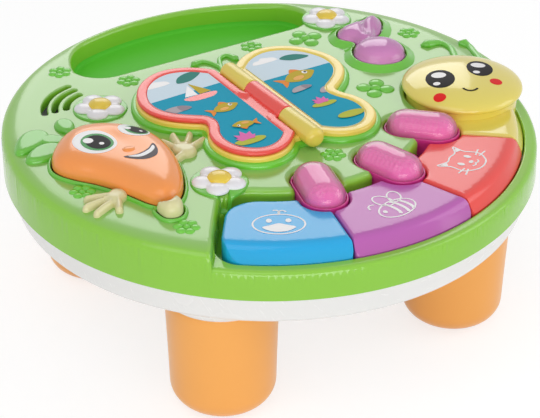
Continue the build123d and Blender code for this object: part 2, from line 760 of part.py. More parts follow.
def stem(x, y, tip, top):
    """Round plunger with a snap flange under the floor it passes."""
    return (rod(x, y, stem_r, tip, top)
            + rod(x, y, barb_r, floor_under - 0.25 - barb_thick, floor_under - 0.25))


def key(bearing, first=False):
    outer = slab(key_face(bearing, 0, first), key_bottom, far) & key_profile(0, key_bottom)
    hollow = slab(key_face(bearing, key_wall, first), key_bottom - 1, far)
    body = outer - (hollow & key_profile(key_wall, key_bottom - 1))
    frame = fan_place(bearing)
    for side in (-1, 1):
        body += frame * block(hinge_r - 3, hinge_r + 3, side * ear_out - ear_thick / 2,
                              side * ear_out + ear_thick / 2, pin_z - 3, deck_z - 4.6)
    body -= pin_bar(bearing, pin_r + pin_run, 2 * ear_out + ear_thick + 2)
    x, y = bearing_xy(stem_at_r, bearing)
    return body + stem(x, y, stem_tip_z, deck_z - 4)


def key_hinge_pins():
    bars = [pin_bar(b, pin_r, 2 * ear_out + ear_thick) for b in key_bearings]
    return Compound(bars)


# ---- push buttons ----
def pill(bearing):
    skirt = radial_slot(pill_at_r, bearing, pill_len - 1.2, pill_wide - 1.2)
    top = radial_slot(pill_at_r, bearing, pill_len, pill_wide)
    inner = radial_slot(pill_at_r, bearing, pill_len - 2 * pill_wall - 1.2,
                        pill_wide - 2 * pill_wall - 1.2)
    crown = deck_z + pill_top
    body = rounded_top(top, deck_z + 2.6, crown, 6.8)
    body += slab(skirt, floor_z + 3.2, deck_z + 3)
    body -= rounded_top(inner, floor_z, crown - pill_wall, 6.0)
    x, y = bearing_xy(pill_at_r, bearing)
    return body + stem(x, y, stem_tip_z, crown - 1)


def pill_bezel():
    rings = []
    for bearing in pill_bearings:
        grow = bezel_out - seat_gap
        outer = radial_slot(pill_at_r, bearing, pill_len + 2 * grow, pill_wide + 2 * grow)
        grow -= bezel_thick
        inner = radial_slot(pill_at_r, bearing, pill_len + 2 * grow, pill_wide + 2 * grow)
        rings.append(slab(outer, floor_z, deck_z - 2.4) - slab(inner, floor_z - 1, far))
    return Compound(rings)


def head_dome(inset, bottom):
    base = deck_z + 3.4
    side = Line(rz(head_skirt_r - inset, bottom), rz(head_skirt_r - inset, base))
    under = Line(side @ 1, rz(head_r - inset, deck_z + head_edge))
    crown = TangentArc(rz(0, deck_z + head_top - inset), rz(34 - 0.6 * inset,
                       deck_z + head_top - 3.9 - inset), tangent=(1, 0, 0))
    cheek = TangentArc(crown @ 1, under @ 1, tangent=crown % 1)
    dome = Pos(head_x, head_y) * turn_profile([
        crown, cheek, under, side, Line(side @ 0, rz(0, bottom)), Line(rz(0, bottom), crown @ 0)])
    # the skirt is cut off where it would pass the front of the keys
    front = rod(0, 0, 300, bottom - 1, base + inset) - rod(0, 0, key_out_r - 0.7 - inset,
                                                           bottom - 2, far)
    return dome - front


def neck_face(shrink):
    b0 = fan_centre + 1.5 * key_pitch
    face = fan_piece(key_in_r + shrink, key_out_r - shrink, b0, fan_end - 2.2, -key_slack - shrink)
    start = corner(face, *side_point(key_out_r - shrink, b0, key_slack + shrink))
    face = fillet(start, max(key_corner - shrink, 0.8))
    grow = bezel_out - seat_gap + move_gap + shrink
    return face - radial_slot(pill_at_r, pill_bearings[2], pill_len + 2 * grow, pill_wide + 2 * grow)


def bug_head():
    neck = slab(neck_face(0), key_bottom, far) & key_profile(0, key_bottom)
    neck_in = slab(neck_face(key_wall), key_bottom - 1, far) & key_profile(key_wall, key_bottom - 1)
    body = head_dome(0, key_bottom + 0.4) + neck
    body -= head_dome(key_wall, key_bottom - 2)
    body -= neck_in
    return body + stem(*head_stem, stem_tip_z, deck_z + head_top - 1)


def deck_button(points, crown, inside_z, spot, top):
    """Push button through the deck, held by a flange underneath."""
    flange_z = deck_under - 0.2
    body = crown + slab(blob(points, 2.4), flange_z - 2, flange_z)
    body -= slab(blob(points, -2.4), flange_z - 3, inside_z)
    x, y = spot
    return body + rod(x, y, stem_r, small_tip_z, top)


def radish_button():
    low = slab(blob(radish_bulb), deck_under - 2.2, deck_z + radish_edge)
    bulb = rounded_top(disc(radish_x + 0.5, radish_y + 1, radish_r), deck_z, deck_z + radish_top,
                       radish_round)
    leaf = rounded_top(blob(radish_leaf), deck_z, deck_z + radish_top - 2.5, 2.0)
    crown = low + bulb + leaf
    return deck_button(radish_bulb, crown, deck_z + radish_edge - 2, radish_stem,
                       deck_z + radish_top - 2)


def carrot_button():
    crown = rounded_top(blob(carrot_body), deck_under - 2.2, deck_z + carrot_top, carrot_round)
    body = deck_button(carrot_body, crown, deck_z + carrot_top - 6, carrot_stem,
                       deck_z + carrot_top - 2)
    return body - rod(-125, -84, carrot_tip_r + 0.3, deck_z + pad_rise + 2, far)


def carrot_tip():
    body = rod(-125, -84, carrot_tip_r, deck_z + pad_rise + 2.2, deck_z + 13)
    return fillet(body.edges().group_by(Axis.Z)[-1], 5.5)


def carrot_hands():
    hands = []
    for spots in (hand_left, hand_right):
        face = None
        px, py, pr = spots[0]
        for x, y, r in spots:
            part = disc(x, y, r)
            way = math.degrees(math.atan2(y - py, x - px))
            long = math.hypot(x - px, y - py)
            if long > 1:
                part += Pos((x + px) / 2, (y + py) / 2) * Rot(0, 0, way) * Rectangle(long, 1.7 * r)
            face = part if face is None else face + part
        hands.append((slab(face, deck_z - 14, far) & rim_solid(-hand_rise)) - rim_solid(0))
    body = hands[0] + hands[1]
    body -= slab(book_face(boss_wide + 0.3), deck_z - 1, far)
    return body - slab(blob(carrot_body, pad_wide + 0.3), deck_z - 1, far)


# ---- butterfly book ----
def picture_face(side, amount=0.0):
    """Plan of a picture: the wing less its frame."""
    face = wing_face(side, -frame_wide + amount)
    keep = make_face(Polyline((book_x + side * (spine_frame - amount), -90),
                              (book_x + side * 120, -90), (book_x + side * 120, 90),
                              (book_x + side * (spine_frame - amount), 90), close=True))
    return face & keep


def book_base_part():
    body = slab(book_face(), book_boss_z, book_top_z)
    for side in (-1, 1):
        body -= slab(picture_face(side, 0.3), book_top_z - print_deep, far)
    body -= along_y(book_x, knuckle_bottom - knuckle_gap, knuckle_top + knuckle_gap, spine_z,
                    spine_r + 0.6)
    knuckles = (along_y(book_x, spine_bottom, knuckle_bottom - knuckle_gap, spine_z, spine_r)
                + along_y(book_x, knuckle_top + knuckle_gap, spine_top, spine_z, spine_r))
    body += knuckles & block(-200, 200, -200, 200, book_boss_z, far)
    body -= along_y(book_x, spine_bottom + 2, spine_top - 2, spine_z, book_pin_r)
    for x, y in book_pegs:
        body += rod(x, y, book_peg_r, deck_under - 1.5, book_boss_z + 0.5)
    return body


def book_page():
    body = slab(wing_face(-1, -page_inset, 0), page_z, page_z + page_thick)
    body -= block(book_x - spine_r - page_inset, far, -far, far, page_z - 1, far)
    for z0, z1 in ((page_z - 1, page_z + print_deep), (page_z + page_thick - print_deep, far)):
        body -= slab(picture_face(-1, 0.3), z0, z1)
    body += along_y(book_x, knuckle_bottom, knuckle_top, spine_z, spine_r)
    body += block(book_x - spine_r - 1.5, book_x, knuckle_bottom, knuckle_top, page_z,
                  page_z + page_thick)
    return body - along_y(book_x, knuckle_bottom - 1, knuckle_top + 1, spine_z,
                          book_pin_r + pin_run)


def picture(side, z):
    return slab(picture_face(side), z, z + print_thick)


# ---- flowers ----
def flower_petals():
    body = None
    for x, y in flowers:
        part = rod(x, y, 7.0, deck_z + flower_pad, deck_z + petal_rise)
        for n in range(5):
            a = math.radians(72 * n + 90)
            reach = flower_r - petal_r
            part += rod(x + reach * math.cos(a), y + reach * math.sin(a), petal_r,
                        deck_z + flower_pad, deck_z + petal_rise)
        part -= rod(x, y, eye_peg_r, deck_z, far)
        body = part if body is None else body + part
    return body


def flower_centres():
    body = None
    for x, y in flowers:
        cap = rod(x, y, eye_r, deck_z + petal_rise, deck_z + petal_rise + 2.8)
        cap = fillet(cap.edges().group_by(Axis.Z)[-1], 2.0)
        part = cap + rod(x, y, eye_peg_r, deck_under - 1.4, deck_z + petal_rise + 0.5)
        body = part if body is None else body + part
    return body


# ---- speaker ----
def speaker_frame():
    top = speaker_top
    body = rod(speaker_x, speaker_y, speaker_r, top - 2.2, top)
    body += Pos(speaker_x, speaker_y, top - 8.2) * Cone(12, speaker_r - 3, 6, align=(
        Align.CENTER, Align.CENTER, Align.MIN))
    body -= Pos(speaker_x, speaker_y, top - 8.3) * Cone(10, speaker_r - 5, 6.2, align=(
        Align.CENTER, Align.CENTER, Align.MIN))
    body -= rod(speaker_x, speaker_y, speaker_r - 4.8, top - 2.3, top + 1)
    body += rod(speaker_x, speaker_y, 12, top - 9.4, top - 8.0)
    body -= rod(speaker_x, speaker_y, 6.0, top - 10, top - 7)
    return body


def speaker_cone():
    top = speaker_top
    outer = Pos(speaker_x, speaker_y, top - 6.6) * Cone(5.5, speaker_r - 5.4, 5.2, align=(
        Align.CENTER, Align.CENTER, Align.MIN))
    inner = Pos(speaker_x, speaker_y, top - 5.8) * Cone(5.5, speaker_r - 5.4, 5.2, align=(
        Align.CENTER, Align.CENTER, Align.MIN))
    body = outer - inner
    body += rod(speaker_x, speaker_y, speaker_r - 4.8, top - 1.6, top - 0.9) - rod(
        speaker_x, speaker_y, speaker_r - 7.0, top - 2, top)
    return body + rod(speaker_x, speaker_y, 5.6, top - 7.4, top - 6.2)


def speaker_magnet():
    top = speaker_top
    return rod(speaker_x, speaker_y, 11, top - 15.4, top - 9.4)


# ---- electronics ----
def main_board():
    body = slab(fan_piece(100, 162, fan_start + 2, fan_end - 2, 0), board_top - board_thick,
                board_top)
    for x, y in board_post_spots:
        body -= rod(x, y, screw_r + 0.2, board_top - 3, far)
    for x, y in shell_boss_spots:
        body -= rod(x, y, boss_r + 1, board_top - 3, far)
    return body


def button_boards():
    boards = []
    for x, y, long, wide in small_boards.values():
        part = block(x - long / 2, x + long / 2, y - wide / 2, y + wide / 2,
                     small_board_z - board_thick, small_board_z)
        for px, py in small_board_posts(x, y, long, wide):
            part -= rod(px, py, screw_r + 0.2, small_board_z - 3, far)
        boards.append(part)
    return Compound(boards)


def board_screws():
    screws = [screw(x, y, board_top - board_thick, 7.0) for x, y in board_post_spots]
    for spot in small_boards.values():
        for x, y in small_board_posts(*spot):
            screws.append(screw(x, y, small_board_z - board_thick, 9.0))
    for x, y in speaker_posts():
        screws.append(screw(x, y, speaker_flange_z, 3.6, head_r=7.6))
    return Compound(screws)


def leds():
    lamps = []
    for x, y in led_spots:
        lamp = rod(x, y, led_r, board_top, board_top + led_high)
        lamps.append(fillet(lamp.edges().group_by(Axis.Z)[-1], 2.2))
    return Compound(lamps)


def switch_dome(x, y, z, tip):
    outer = Pos(x, y, z) * Cone(5.4, 3.4, tip - z, align=(Align.CENTER, Align.CENTER, Align.MIN))
    inner = Pos(x, y, z - 0.01) * Cone(4.6, 2.6, tip - z - 1.2, align=(
        Align.CENTER, Align.CENTER, Align.MIN))
    return outer - inner


# ---- battery box ----
def battery_door():
    low = base_z
    body = block(-recess_x, recess_x, -recess_y, recess_y, low, low + door_thick)
    body += rod(door_ear_x, 0, door_ear_r, low, low + door_thick)
    body -= rod(door_ear_x, 0, screw_r, low - 1, far)
    body -= rod(door_ear_x, 0, 3.0, low - 1, low + 1.4)
    for y in tab_spots:
        body += block(-recess_x - 3.4 - 0.6, -recess_x + 2, y - tab_wide / 2, y + tab_wide / 2,
                      low + door_thick - 1.2, low + door_thick)
    edge = body.edges().filter_by(Axis.Y).sort_by(lambda e: (round(e.center().Z, 1),
                                                            round(e.center().X, 1)))[0]
    return chamfer(edge, 1.0)


def battery_door_screw():
    head = rod(door_ear_x, 0, 2.9, base_z + 0.1, base_z + 1.4)
    thread = rod(door_ear_x, 0, screw_r, base_z + 1.2, floor_in + door_thread - 1.6)
    cross = Pos(door_ear_x, 0, base_z) * (Box(0.8, 3.4, 1.4) + Box(3.4, 0.8, 1.4))
    return head + thread - cross


def battery_cells():
    cells = []
    for n in range(cell_count):
        y = (n - (cell_count - 1) / 2) * cell_pitch
        way = 1 if n % 2 else -1
        can = Pos(0, y, cell_z) * Rot(0, 90, 0) * Cylinder(cell_r, cell_len - 2)
        knob = Pos(way * (cell_len / 2 - 0.5), y, cell_z) * Rot(0, 90, 0) * Cylinder(2.7, 1.0)
        cells.append(can + knob)
    return Compound(cells)


def battery_contacts():
    plates = []
    for side in (-1, 1):
        for n in range(cell_count):
            y = (n - (cell_count - 1) / 2) * cell_pitch
            way = 1 if n % 2 else -1
            plate = block(side * cells_x - 0.3 - 0.3 * side, side * cells_x + 0.3 - 0.3 * side,
                          y - 5.5, y + 5.5, cell_z - 5, cell_z + 5)
            near = cell_len / 2 if side == way else cell_len / 2 - 1
            spring = Pos(side * (near + cells_x - 0.6) / 2, y, cell_z) * Rot(0, 90, 0)
            plates.append(plate + spring * Cylinder(3.0, cells_x - 0.6 - near))
    return Compound(plates)


# ---- power switch ----
def power_switch_knob():
    body = block(-8, 8, switch_y - 4.6, switch_y + 4.6, floor_in + 0.1, floor_in + 2.0)
    body += block(-2.9, 2.9, switch_y - 2.8, switch_y + 2.8, base_z - 1.0, floor_in + 1)
    for x in (-1.6, 0, 1.6):
        body -= block(x - 0.3, x + 0.3, switch_y - 3, switch_y + 3, base_z - 2, base_z - 0.6)
    return body


def power_switch_body():
    body = block(-17, 17, switch_y - 5, switch_y + 5, floor_in + 2.1, floor_in + 8)
    for side in (-1, 1):
        body += block(side * 15 - 2, side * 15 + 2, switch_y - 5, switch_y + 5, floor_in,
                      floor_in + 3)
    return body


def build():
    write(top_shell(), "top_shell")
    write(base_shell(), "base_shell")
    for name, (sx, sy) in leg_spots.items():
        write(Pos(sx * leg_at, sy * leg_at) * leg(), name)
    write(Compound([screw(sx * leg_at, sy * leg_at, socket_top + wall, screw_len, up=False)
                    for sx, sy in leg_spots.values()]), "leg_screws")
    write(Compound([screw(x, y, base_z + counterbore_deep, screw_len)
                    for x, y in shell_boss_spots]), "shell_screws")
    for name, bearing in zip(("key_blue", "key_lilac", "key_red"), key_bearings):
        write(key(bearing, name == "key_blue"), name)
    write(key_hinge_pins(), "key_hinge_pins")
    write(bug_head(), "bug_head")
    for name, bearing in zip(("pill_left", "pill_middle", "pill_right"), pill_bearings):
        write(pill(bearing), name)
    write(pill_bezel(), "pill_bezel")
    write(radish_button(), "radish_button")
    write(carrot_button(), "carrot_button")
    write(carrot_tip(), "carrot_tip")
    write(carrot_hands(), "carrot_hands")
    write(book_base_part(), "book_base")
    write(book_page(), "book_page")
    page_top = page_z + page_thick - print_deep
    write(picture(-1, page_top), "page_picture_front")
    write(picture(-1, page_z + print_deep - print_thick), "page_picture_back")
    write(picture(-1, book_top_z - print_deep), "left_picture")
    write(picture(1, book_top_z - print_deep), "right_picture")
    write(along_y(book_x, spine_bottom + 2, spine_top - 2, spine_z, book_pin_r), "book_hinge_pin")
    write(flower_petals(), "flower_petals")
    write(flower_centres(), "flower_centres")
    write(speaker_frame(), "speaker_frame")
    write(speaker_cone(), "speaker_cone")
    write(speaker_magnet(), "speaker_magnet")
    write(main_board(), "main_board")
    write(button_boards(), "button_boards")
    write(board_screws(), "board_screws")
    write(leds(), "leds")
    spots = list(zip(("blue", "lilac", "red"), key_stems))
    spots += list(zip(("left", "middle", "right"), pill_stems)) + [("head", head_stem)]
    for name, (x, y) in spots:
        write(switch_dome(x, y, board_top, stem_tip_z), f"dome_{name}")
    for name, (x, y) in (("radish", radish_stem), ("carrot", carrot_stem)):
        write(switch_dome(x, y, small_board_z, small_tip_z), f"dome_{name}")
    write(battery_door(), "battery_door")
    write(battery_door_screw(), "battery_door_screw")
    write(battery_cells(), "battery_cells")
    write(battery_contacts(), "battery_contacts")
    write(power_switch_knob(), "power_switch_knob")
    write(power_switch_body(), "power_switch_body")


build()
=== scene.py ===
import math

import bmesh
import bpy
import numpy as np
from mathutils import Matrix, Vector
from mathutils.geometry import delaunay_2d_cdt


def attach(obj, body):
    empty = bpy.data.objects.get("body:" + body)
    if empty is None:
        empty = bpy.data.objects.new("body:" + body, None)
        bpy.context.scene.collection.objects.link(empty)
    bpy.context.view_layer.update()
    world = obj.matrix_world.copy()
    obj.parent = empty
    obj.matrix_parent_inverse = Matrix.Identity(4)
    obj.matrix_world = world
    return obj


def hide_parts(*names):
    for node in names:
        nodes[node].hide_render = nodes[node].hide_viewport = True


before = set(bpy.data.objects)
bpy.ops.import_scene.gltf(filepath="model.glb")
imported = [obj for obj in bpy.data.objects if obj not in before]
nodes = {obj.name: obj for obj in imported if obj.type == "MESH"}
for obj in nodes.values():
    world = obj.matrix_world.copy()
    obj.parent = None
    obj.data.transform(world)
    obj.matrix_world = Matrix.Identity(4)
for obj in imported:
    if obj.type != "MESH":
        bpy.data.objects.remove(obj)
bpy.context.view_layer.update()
print("frame loaded:", len(nodes), "nodes")

# Plan sizes are millimetres from the middle of the table, heights are millimetres above the floor.
# A bearing is a direction in degrees: 0 is the front of the table (-Y), growing towards +X.
table = {
    "radius": 190, "deckZ": 148.5, "seamZ": 115.5, "collarZ": 87.2, "pocketZ": 125.0, "trayZ": 130.5,
    "ledgeZ": 136.0, "fanStart": -44.55, "keyPitch": 30.5, "keyMiddle": 1.2,
}
# Keyboard: radii of its walls and keys, and the straight left end, turned a little against the first key.
fan = {"wallIn": 109.5, "wallOut": 180.2, "wallEnd": 26.5, "wallSide": 3, "wallCorners": (24, 4, 17, 4),
       "keyIn": 116.5, "keyOut": 179.2, "keyEnd": 22.0, "keySide": -0.5, "endTurn": 10.0, "neckShort": 2.2}
mm = 0.001
deckZ = table["deckZ"]
keyBearings = [table["keyMiddle"] + k * table["keyPitch"] for k in (-1, 0, 1)]
pillBearings = [-14.05, 16.45, 46.95]


# Colours are red, green and blue from 0 to 255 as they look on a screen.
def linear(r, g, b):
    return tuple(((c / 255 + 0.055) / 1.055) ** 2.4 if c > 10 else c / 3294.6 for c in (r, g, b)) + (1.0,)


def wire(tree, node, inputs):  # sockets are linked, other values are set
    for key, value in inputs.items():
        if isinstance(value, bpy.types.NodeSocket):
            tree.links.new(value, node.inputs[key])
        else:
            node.inputs[key].default_value = value


def addNode(tree, kind, inputs=None, **settings):
    node = tree.nodes.new(kind)
    for key, value in settings.items():
        setattr(node, key, value)
    wire(tree, node, inputs or {})
    return node


def newTree(name, kind, inputs, outputs):
    tree = bpy.data.node_groups.new(name, kind)
    for label, socketKind, *value in inputs:
        socket = tree.interface.new_socket(label, in_out="INPUT", socket_type="NodeSocket" + socketKind)
        if value:
            socket.default_value = value[0]
    for label, socketKind in outputs:
        tree.interface.new_socket(label, in_out="OUTPUT", socket_type="NodeSocket" + socketKind)
    return tree, tree.nodes.new("NodeGroupInput"), tree.nodes.new("NodeGroupOutput")


def mathNode(tree, operation, a, b, clamp=False):
    return addNode(tree, "ShaderNodeMath", {0: a, 1: b}, operation=operation, use_clamp=clamp).outputs[0]


def mixColour(tree, factor, a, b):
    return addNode(tree, "ShaderNodeMix", {0: factor, 6: a, 7: b}, data_type="RGBA").outputs[2]


def mouldedGroup():  # slow flow marks, fine handling scratches and a trace of dust on moulded plastic
    tree, start, end = newTree("mouldedPlastic", "ShaderNodeTree", [
        ("Colour", "Color", (0.5, 0.5, 0.5, 1)), ("Tone", "Float", 0.04), ("Gloss", "Float", 0.2),
        ("Wear", "Float", 0.5)], [("Colour", "Color"), ("Roughness", "Float"), ("Height", "Float")])
    given = start.outputs

    def add(operation, a, b, clamp=False):
        return mathNode(tree, operation, a, b, clamp)

    def noise(vector, **inputs):
        return addNode(tree, "ShaderNodeTexNoise", {"Vector": vector, **inputs}).outputs[0]

    place = addNode(tree, "ShaderNodeTexCoord").outputs["Object"]
    flow = noise(place, Scale=14, Detail=3)
    stretch = addNode(tree, "ShaderNodeMapping", {"Scale": (1, 14, 1), "Rotation": (0, 0, 0.6), "Vector": place})
    scratch = noise(stretch.outputs[0], Scale=90, Detail=4)
    peel = noise(place, Scale=260)
    tone = add("MULTIPLY", add("SUBTRACT", flow, 0.5), given["Tone"])
    bright = addNode(tree, "ShaderNodeHueSaturation", {"Color": given["Colour"], "Value": add("ADD", tone, 1.0)})
    marks = add("MULTIPLY", add("MULTIPLY", add("SUBTRACT", scratch, 0.62, True), 0.9), given["Wear"])
    cloudy = add("MULTIPLY", add("SUBTRACT", flow, 0.5), 0.08)
    rough = add("ADD", add("ADD", given["Gloss"], marks), cloudy)
    wire(tree, end, {"Colour": bright.outputs[0], "Roughness": add("MAXIMUM", rough, 0.03),
                     "Height": add("SUBTRACT", peel, add("MULTIPLY", marks, 3.0))})
    return tree


moulded = mouldedGroup()


def shaderOf(material):
    return material.node_tree.nodes["Principled BSDF"]


def groupOf(material):
    return [n for n in material.node_tree.nodes if n.type == "GROUP"][0]


def plastic(name, colour, gloss=0.2, tone=0.05, wear=0.35, peel=0.03, coat=0.0, specular=0.5):
    material = bpy.data.materials.new(name)
    material.use_nodes = True
    tree = material.node_tree
    group = addNode(tree, "ShaderNodeGroup", {"Colour": linear(*colour), "Gloss": gloss, "Tone": tone, "Wear": wear},
                    node_tree=moulded).outputs
    bump = addNode(tree, "ShaderNodeBump", {"Strength": peel, "Distance": 0.0004, "Height": group["Height"]})
    wire(tree, shaderOf(material), {
        "Normal": bump.outputs[0], "Base Color": group["Colour"], "Roughness": group["Roughness"],
        "Coat Weight": coat, "Coat Roughness": 0.04, "Specular IOR Level": specular})
    return material


def deepen(material, blend, deep):  # the colour grows deeper where the skin is seen aslant
    tree = material.node_tree
    aslant = addNode(tree, "ShaderNodeLayerWeight", {"Blend": blend}).outputs["Facing"]
    mixed = mixColour(tree, aslant, groupOf(material).outputs["Colour"], linear(*deep))
    wire(tree, shaderOf(material), {"Base Color": mixed})
    return aslant


shellColour, deckSheenColour = (142, 206, 58), (144, 198, 98)  # the deck top is painted a paler green than the side, a painted sheen of the light falling on the top
green = plastic("greenShell", shellColour, gloss=0.16, wear=0.1, coat=0.15)
greenNodes = green.node_tree
spot = addNode(greenNodes, "ShaderNodeTexCoord").outputs["Object"]
upright = addNode(greenNodes, "ShaderNodeSeparateXYZ", {0: spot}).outputs["Z"]
# painted sheen: the shell's top, near deck height, gets the paler painted colour and the side keeps the plain green
sheenOnTop = addNode(greenNodes, "ShaderNodeMapRange", {
    "From Min": (deckZ - 2.0) * mm, "From Max": (deckZ - 0.1) * mm, "Value": upright}).outputs[0]
wire(greenNodes, groupOf(green), {"Colour": mixColour(greenNodes, sheenOnTop, linear(*shellColour), linear(*deckSheenColour))})
greenDeep = plastic("greenRaised", (114, 208, 58), gloss=0.14, coat=0.2)
greenLeaf = plastic("greenLeaf", (110, 196, 62), gloss=0.16, coat=0.15)
greenTray = plastic("greenTray", (96, 206, 56), gloss=0.5, specular=0.12)
whiteBase = plastic("whiteBase", (246, 246, 244), gloss=0.26, tone=0.03)
orange = plastic("orangeLeg", (255, 178, 88), gloss=0.3, tone=0.04)
blue, lilac, red = (plastic(name, colour, gloss=0.16, coat=0.1, specular=0.35) for name, colour in (
    ("blueKey", (30, 172, 232)), ("lilacKey", (192, 98, 182)), ("redKey", (246, 80, 74))))
yellow = plastic("yellowHead", (238, 220, 98), gloss=0.14, coat=0.3)
bezelPink = plastic("pinkBezel", (206, 50, 138))
violet = plastic("violetRadish", (246, 156, 226), gloss=0.1, tone=0.04, wear=0.15, peel=0.02, coat=0.4)
deepen(violet, 0.35, (170, 70, 160))
wire(violet.node_tree, shaderOf(violet), {"Transmission Weight": 0.2, "IOR": 1.4})
pillShell = plastic("pinkPill", (255, 170, 220), gloss=0.05, tone=0.04, wear=0.15, peel=0.02, coat=0.6, specular=1.0)
pillNodes, thinnest = pillShell.node_tree, 0.2  # a thin clear shell, most see-through in its middle
aslant = mathNode(pillNodes, "MULTIPLY", deepen(pillShell, 0.4, (200, 30, 130)), 1.0 - thinnest)
wire(pillNodes, shaderOf(pillShell), {"Alpha": mathNode(pillNodes, "ADD", aslant, thinnest, True)})
pillHeart = plastic("pinkLattice", (252, 104, 190), gloss=0.25, coat=0.2)
carrotOrange = plastic("orangeCarrot", (255, 156, 74), coat=0.15)
cream = plastic("creamTrim", (226, 220, 166), gloss=0.22)
bookRed = plastic("redPage", (246, 80, 70), gloss=0.18, coat=0.15)
bookYellow = plastic("yellowBase", (246, 218, 96), gloss=0.18, coat=0.15)
spineYellow = plastic("yellowSpine", (236, 214, 92), gloss=0.18)
petalWhite = plastic("whitePetal", (242, 240, 244), tone=0.02)
eyeYellow = plastic("yellowEye", (240, 208, 70))
inkBlack = plastic("blackInk", (22, 18, 20), gloss=0.35, specular=0.06)
inkWhite = plastic("whiteInk", (252, 250, 250), gloss=0.3, tone=0.01, specular=0.2)
inkRed = plastic("redInk", (236, 40, 40), gloss=0.35, specular=0.1)
steel = plastic("zincSteel", (190, 190, 194), gloss=0.32, tone=0.1, wear=0.6, peel=0.02)
shaderOf(steel).inputs["Metallic"].default_value = 1.0
blackPlastic = plastic("blackPlastic", (30, 30, 32), gloss=0.45)
boardGreen = plastic("boardGreen", (32, 98, 52), gloss=0.35, wear=0.1)
silicone = plastic("siliconeGrey", (198, 196, 190), gloss=0.5)
lampClear = plastic("clearLamp", (236, 238, 230), gloss=0.08)
print("materials made:", len(bpy.data.materials))


def spline(points, count, closed=False):  # smooth curve through the points
    points = np.array(points, float)
    total = len(points)
    fine = []
    for n in range(total if closed else total - 1):
        a, b, c, d = (points[k % total if closed else min(max(k, 0), total - 1)] for k in range(n - 1, n + 3))
        for t in np.linspace(0, 1, count, endpoint=False):
            fine.append(0.5 * (2 * b + (c - a) * t + (2 * a - 5 * b + 4 * c - d) * t ** 2
                               + (3 * b - a - 3 * c + d) * t ** 3))
    return np.array(fine if closed else fine + [points[-1]])


def smoothLoop(points, step=1.6):  # closed curve through the points, evenly sampled
    return evenLoop(spline(points, 12, True), step)


def evenLoop(loop, step):  # the same closed line with evenly spaced points
    loop = np.array(loop, float)
    ring = np.vstack([loop, loop[:1]])
    length = np.concatenate([[0], np.cumsum(np.hypot(*np.diff(ring, axis=0).T))])
    count = max(12, int(round(length[-1] / step)))
    at = np.linspace(0, length[-1], count, endpoint=False)
    return np.column_stack([np.interp(at, length, ring[:, k]) for k in (0, 1)])


def counterClockwise(loop):
    x, y = loop[:, 0], loop[:, 1]
    area = np.sum(x * np.roll(y, -1) - np.roll(x, -1) * y)
    return loop if area > 0 else loop[::-1]


def edgeDistance(points, loop):  # distance of each point to the closed line
    points = np.asarray(points, float)
    best = np.full(len(points), 1e9)
    a, b = loop, np.roll(loop, -1, axis=0)
    d = b - a
    size = np.maximum((d ** 2).sum(1), 1e-12)
    for start in range(0, len(points), 4000):
        part = points[start:start + 4000, None, :]
        t = np.clip(((part - a) * d).sum(2) / size, 0, 1)
        gap = part - (a + t[..., None] * d)
        best[start:start + 4000] = np.sqrt((gap ** 2).sum(2).min(1))
    return best


def insideLoop(points, loop):
    x, y = np.asarray(points, float).T
    inside = np.zeros(len(x), bool)
    ax, ay = loop.T
    bx, by = np.roll(loop, -1, axis=0).T
    for k in range(len(loop)):
        cross = (ay[k] > y) != (by[k] > y)
        if cross.any():
            at = (bx[k] - ax[k]) * (y - ay[k]) / (by[k] - ay[k] + 1e-15) + ax[k]
            inside ^= cross & (x < at)
    return inside


def depthIn(points, loop):  # positive inside the loop, negative outside
    return np.where(insideLoop(points, loop), 1, -1) * edgeDistance(points, loop)


def shifted(loop, amount):  # the loop moved inwards, or outwards for a negative amount
    loop = counterClockwise(loop)
    ahead, behind = np.roll(loop, -1, axis=0), np.roll(loop, 1, axis=0)
    way = ahead - behind
    way /= np.maximum(np.hypot(*way.T), 1e-9)[:, None]
    moved = loop + amount * np.column_stack([-way[:, 1], way[:, 0]])
    keep = edgeDistance(moved, loop) > abs(amount) * 0.985
    return moved[keep]


def circleLoop(x, y, r, step=1.6):
    count = max(16, int(2 * math.pi * r / step))
    a = np.linspace(0, 2 * math.pi, count, endpoint=False)
    return np.column_stack([x + r * np.cos(a), y + r * np.sin(a)])


def spin(turn, size=1.0):  # matrix that turns and sizes a plan drawing
    c, s = math.cos(math.radians(turn)) * size, math.sin(math.radians(turn)) * size
    return np.array([[c, s], [-s, c]])


def stadiumLoop(x, y, length, width, turn, step=1.2):
    r, half = width / 2, (length - width) / 2
    a = np.linspace(-math.pi / 2, math.pi / 2, 30)
    right = np.column_stack([half + r * np.cos(a), r * np.sin(a)])
    return evenLoop(np.vstack([right, -right]) @ spin(turn) + (x, y), step)


def placeObject(name, data):
    thing = bpy.data.objects.new(name, data)
    bpy.context.scene.collection.objects.link(thing)
    return thing


def seat(thing, body, node=None):  # the body that carries it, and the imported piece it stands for
    if node:
        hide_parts(node)
    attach(thing, body)
    return thing


def mesh(name, points, faces, material, smooth=True, sharp=None):
    data = bpy.data.meshes.new(name)
    data.from_pydata([tuple(p * mm) for p in np.asarray(points, float)], [], faces)
    data.materials.append(material)
    for face in data.polygons:
        face.use_smooth = smooth
    data.update()
    if sharp:
        data.set_sharp_from_angle(angle=math.radians(sharp))
    return placeObject(name, data)


def nearest(points, outline, holes):  # positive between the outline and its holes
    depth = depthIn(points, outline)
    for hole in holes:
        depth = np.minimum(depth, -depthIn(points, np.asarray(hole)))
    return depth


def filled(outline, holes=(), inner=(), least=1e-4):  # triangles between the outline and its holes
    points, edges = [], []
    for loop in [outline] + [counterClockwise(np.asarray(h))[::-1] for h in holes]:
        edges += [(len(points) + k, len(points) + (k + 1) % len(loop)) for k in range(len(loop))]
        points += list(loop)
    out = delaunay_2d_cdt([Vector(p) for p in points + list(inner)], edges, [], 0, 1e-4)
    xy = np.array([tuple(v) for v in out[0]])
    faces = np.array([f for f in out[2] if len(f) == 3])
    return xy, faces[nearest(xy[faces].mean(1), outline, holes) > least]


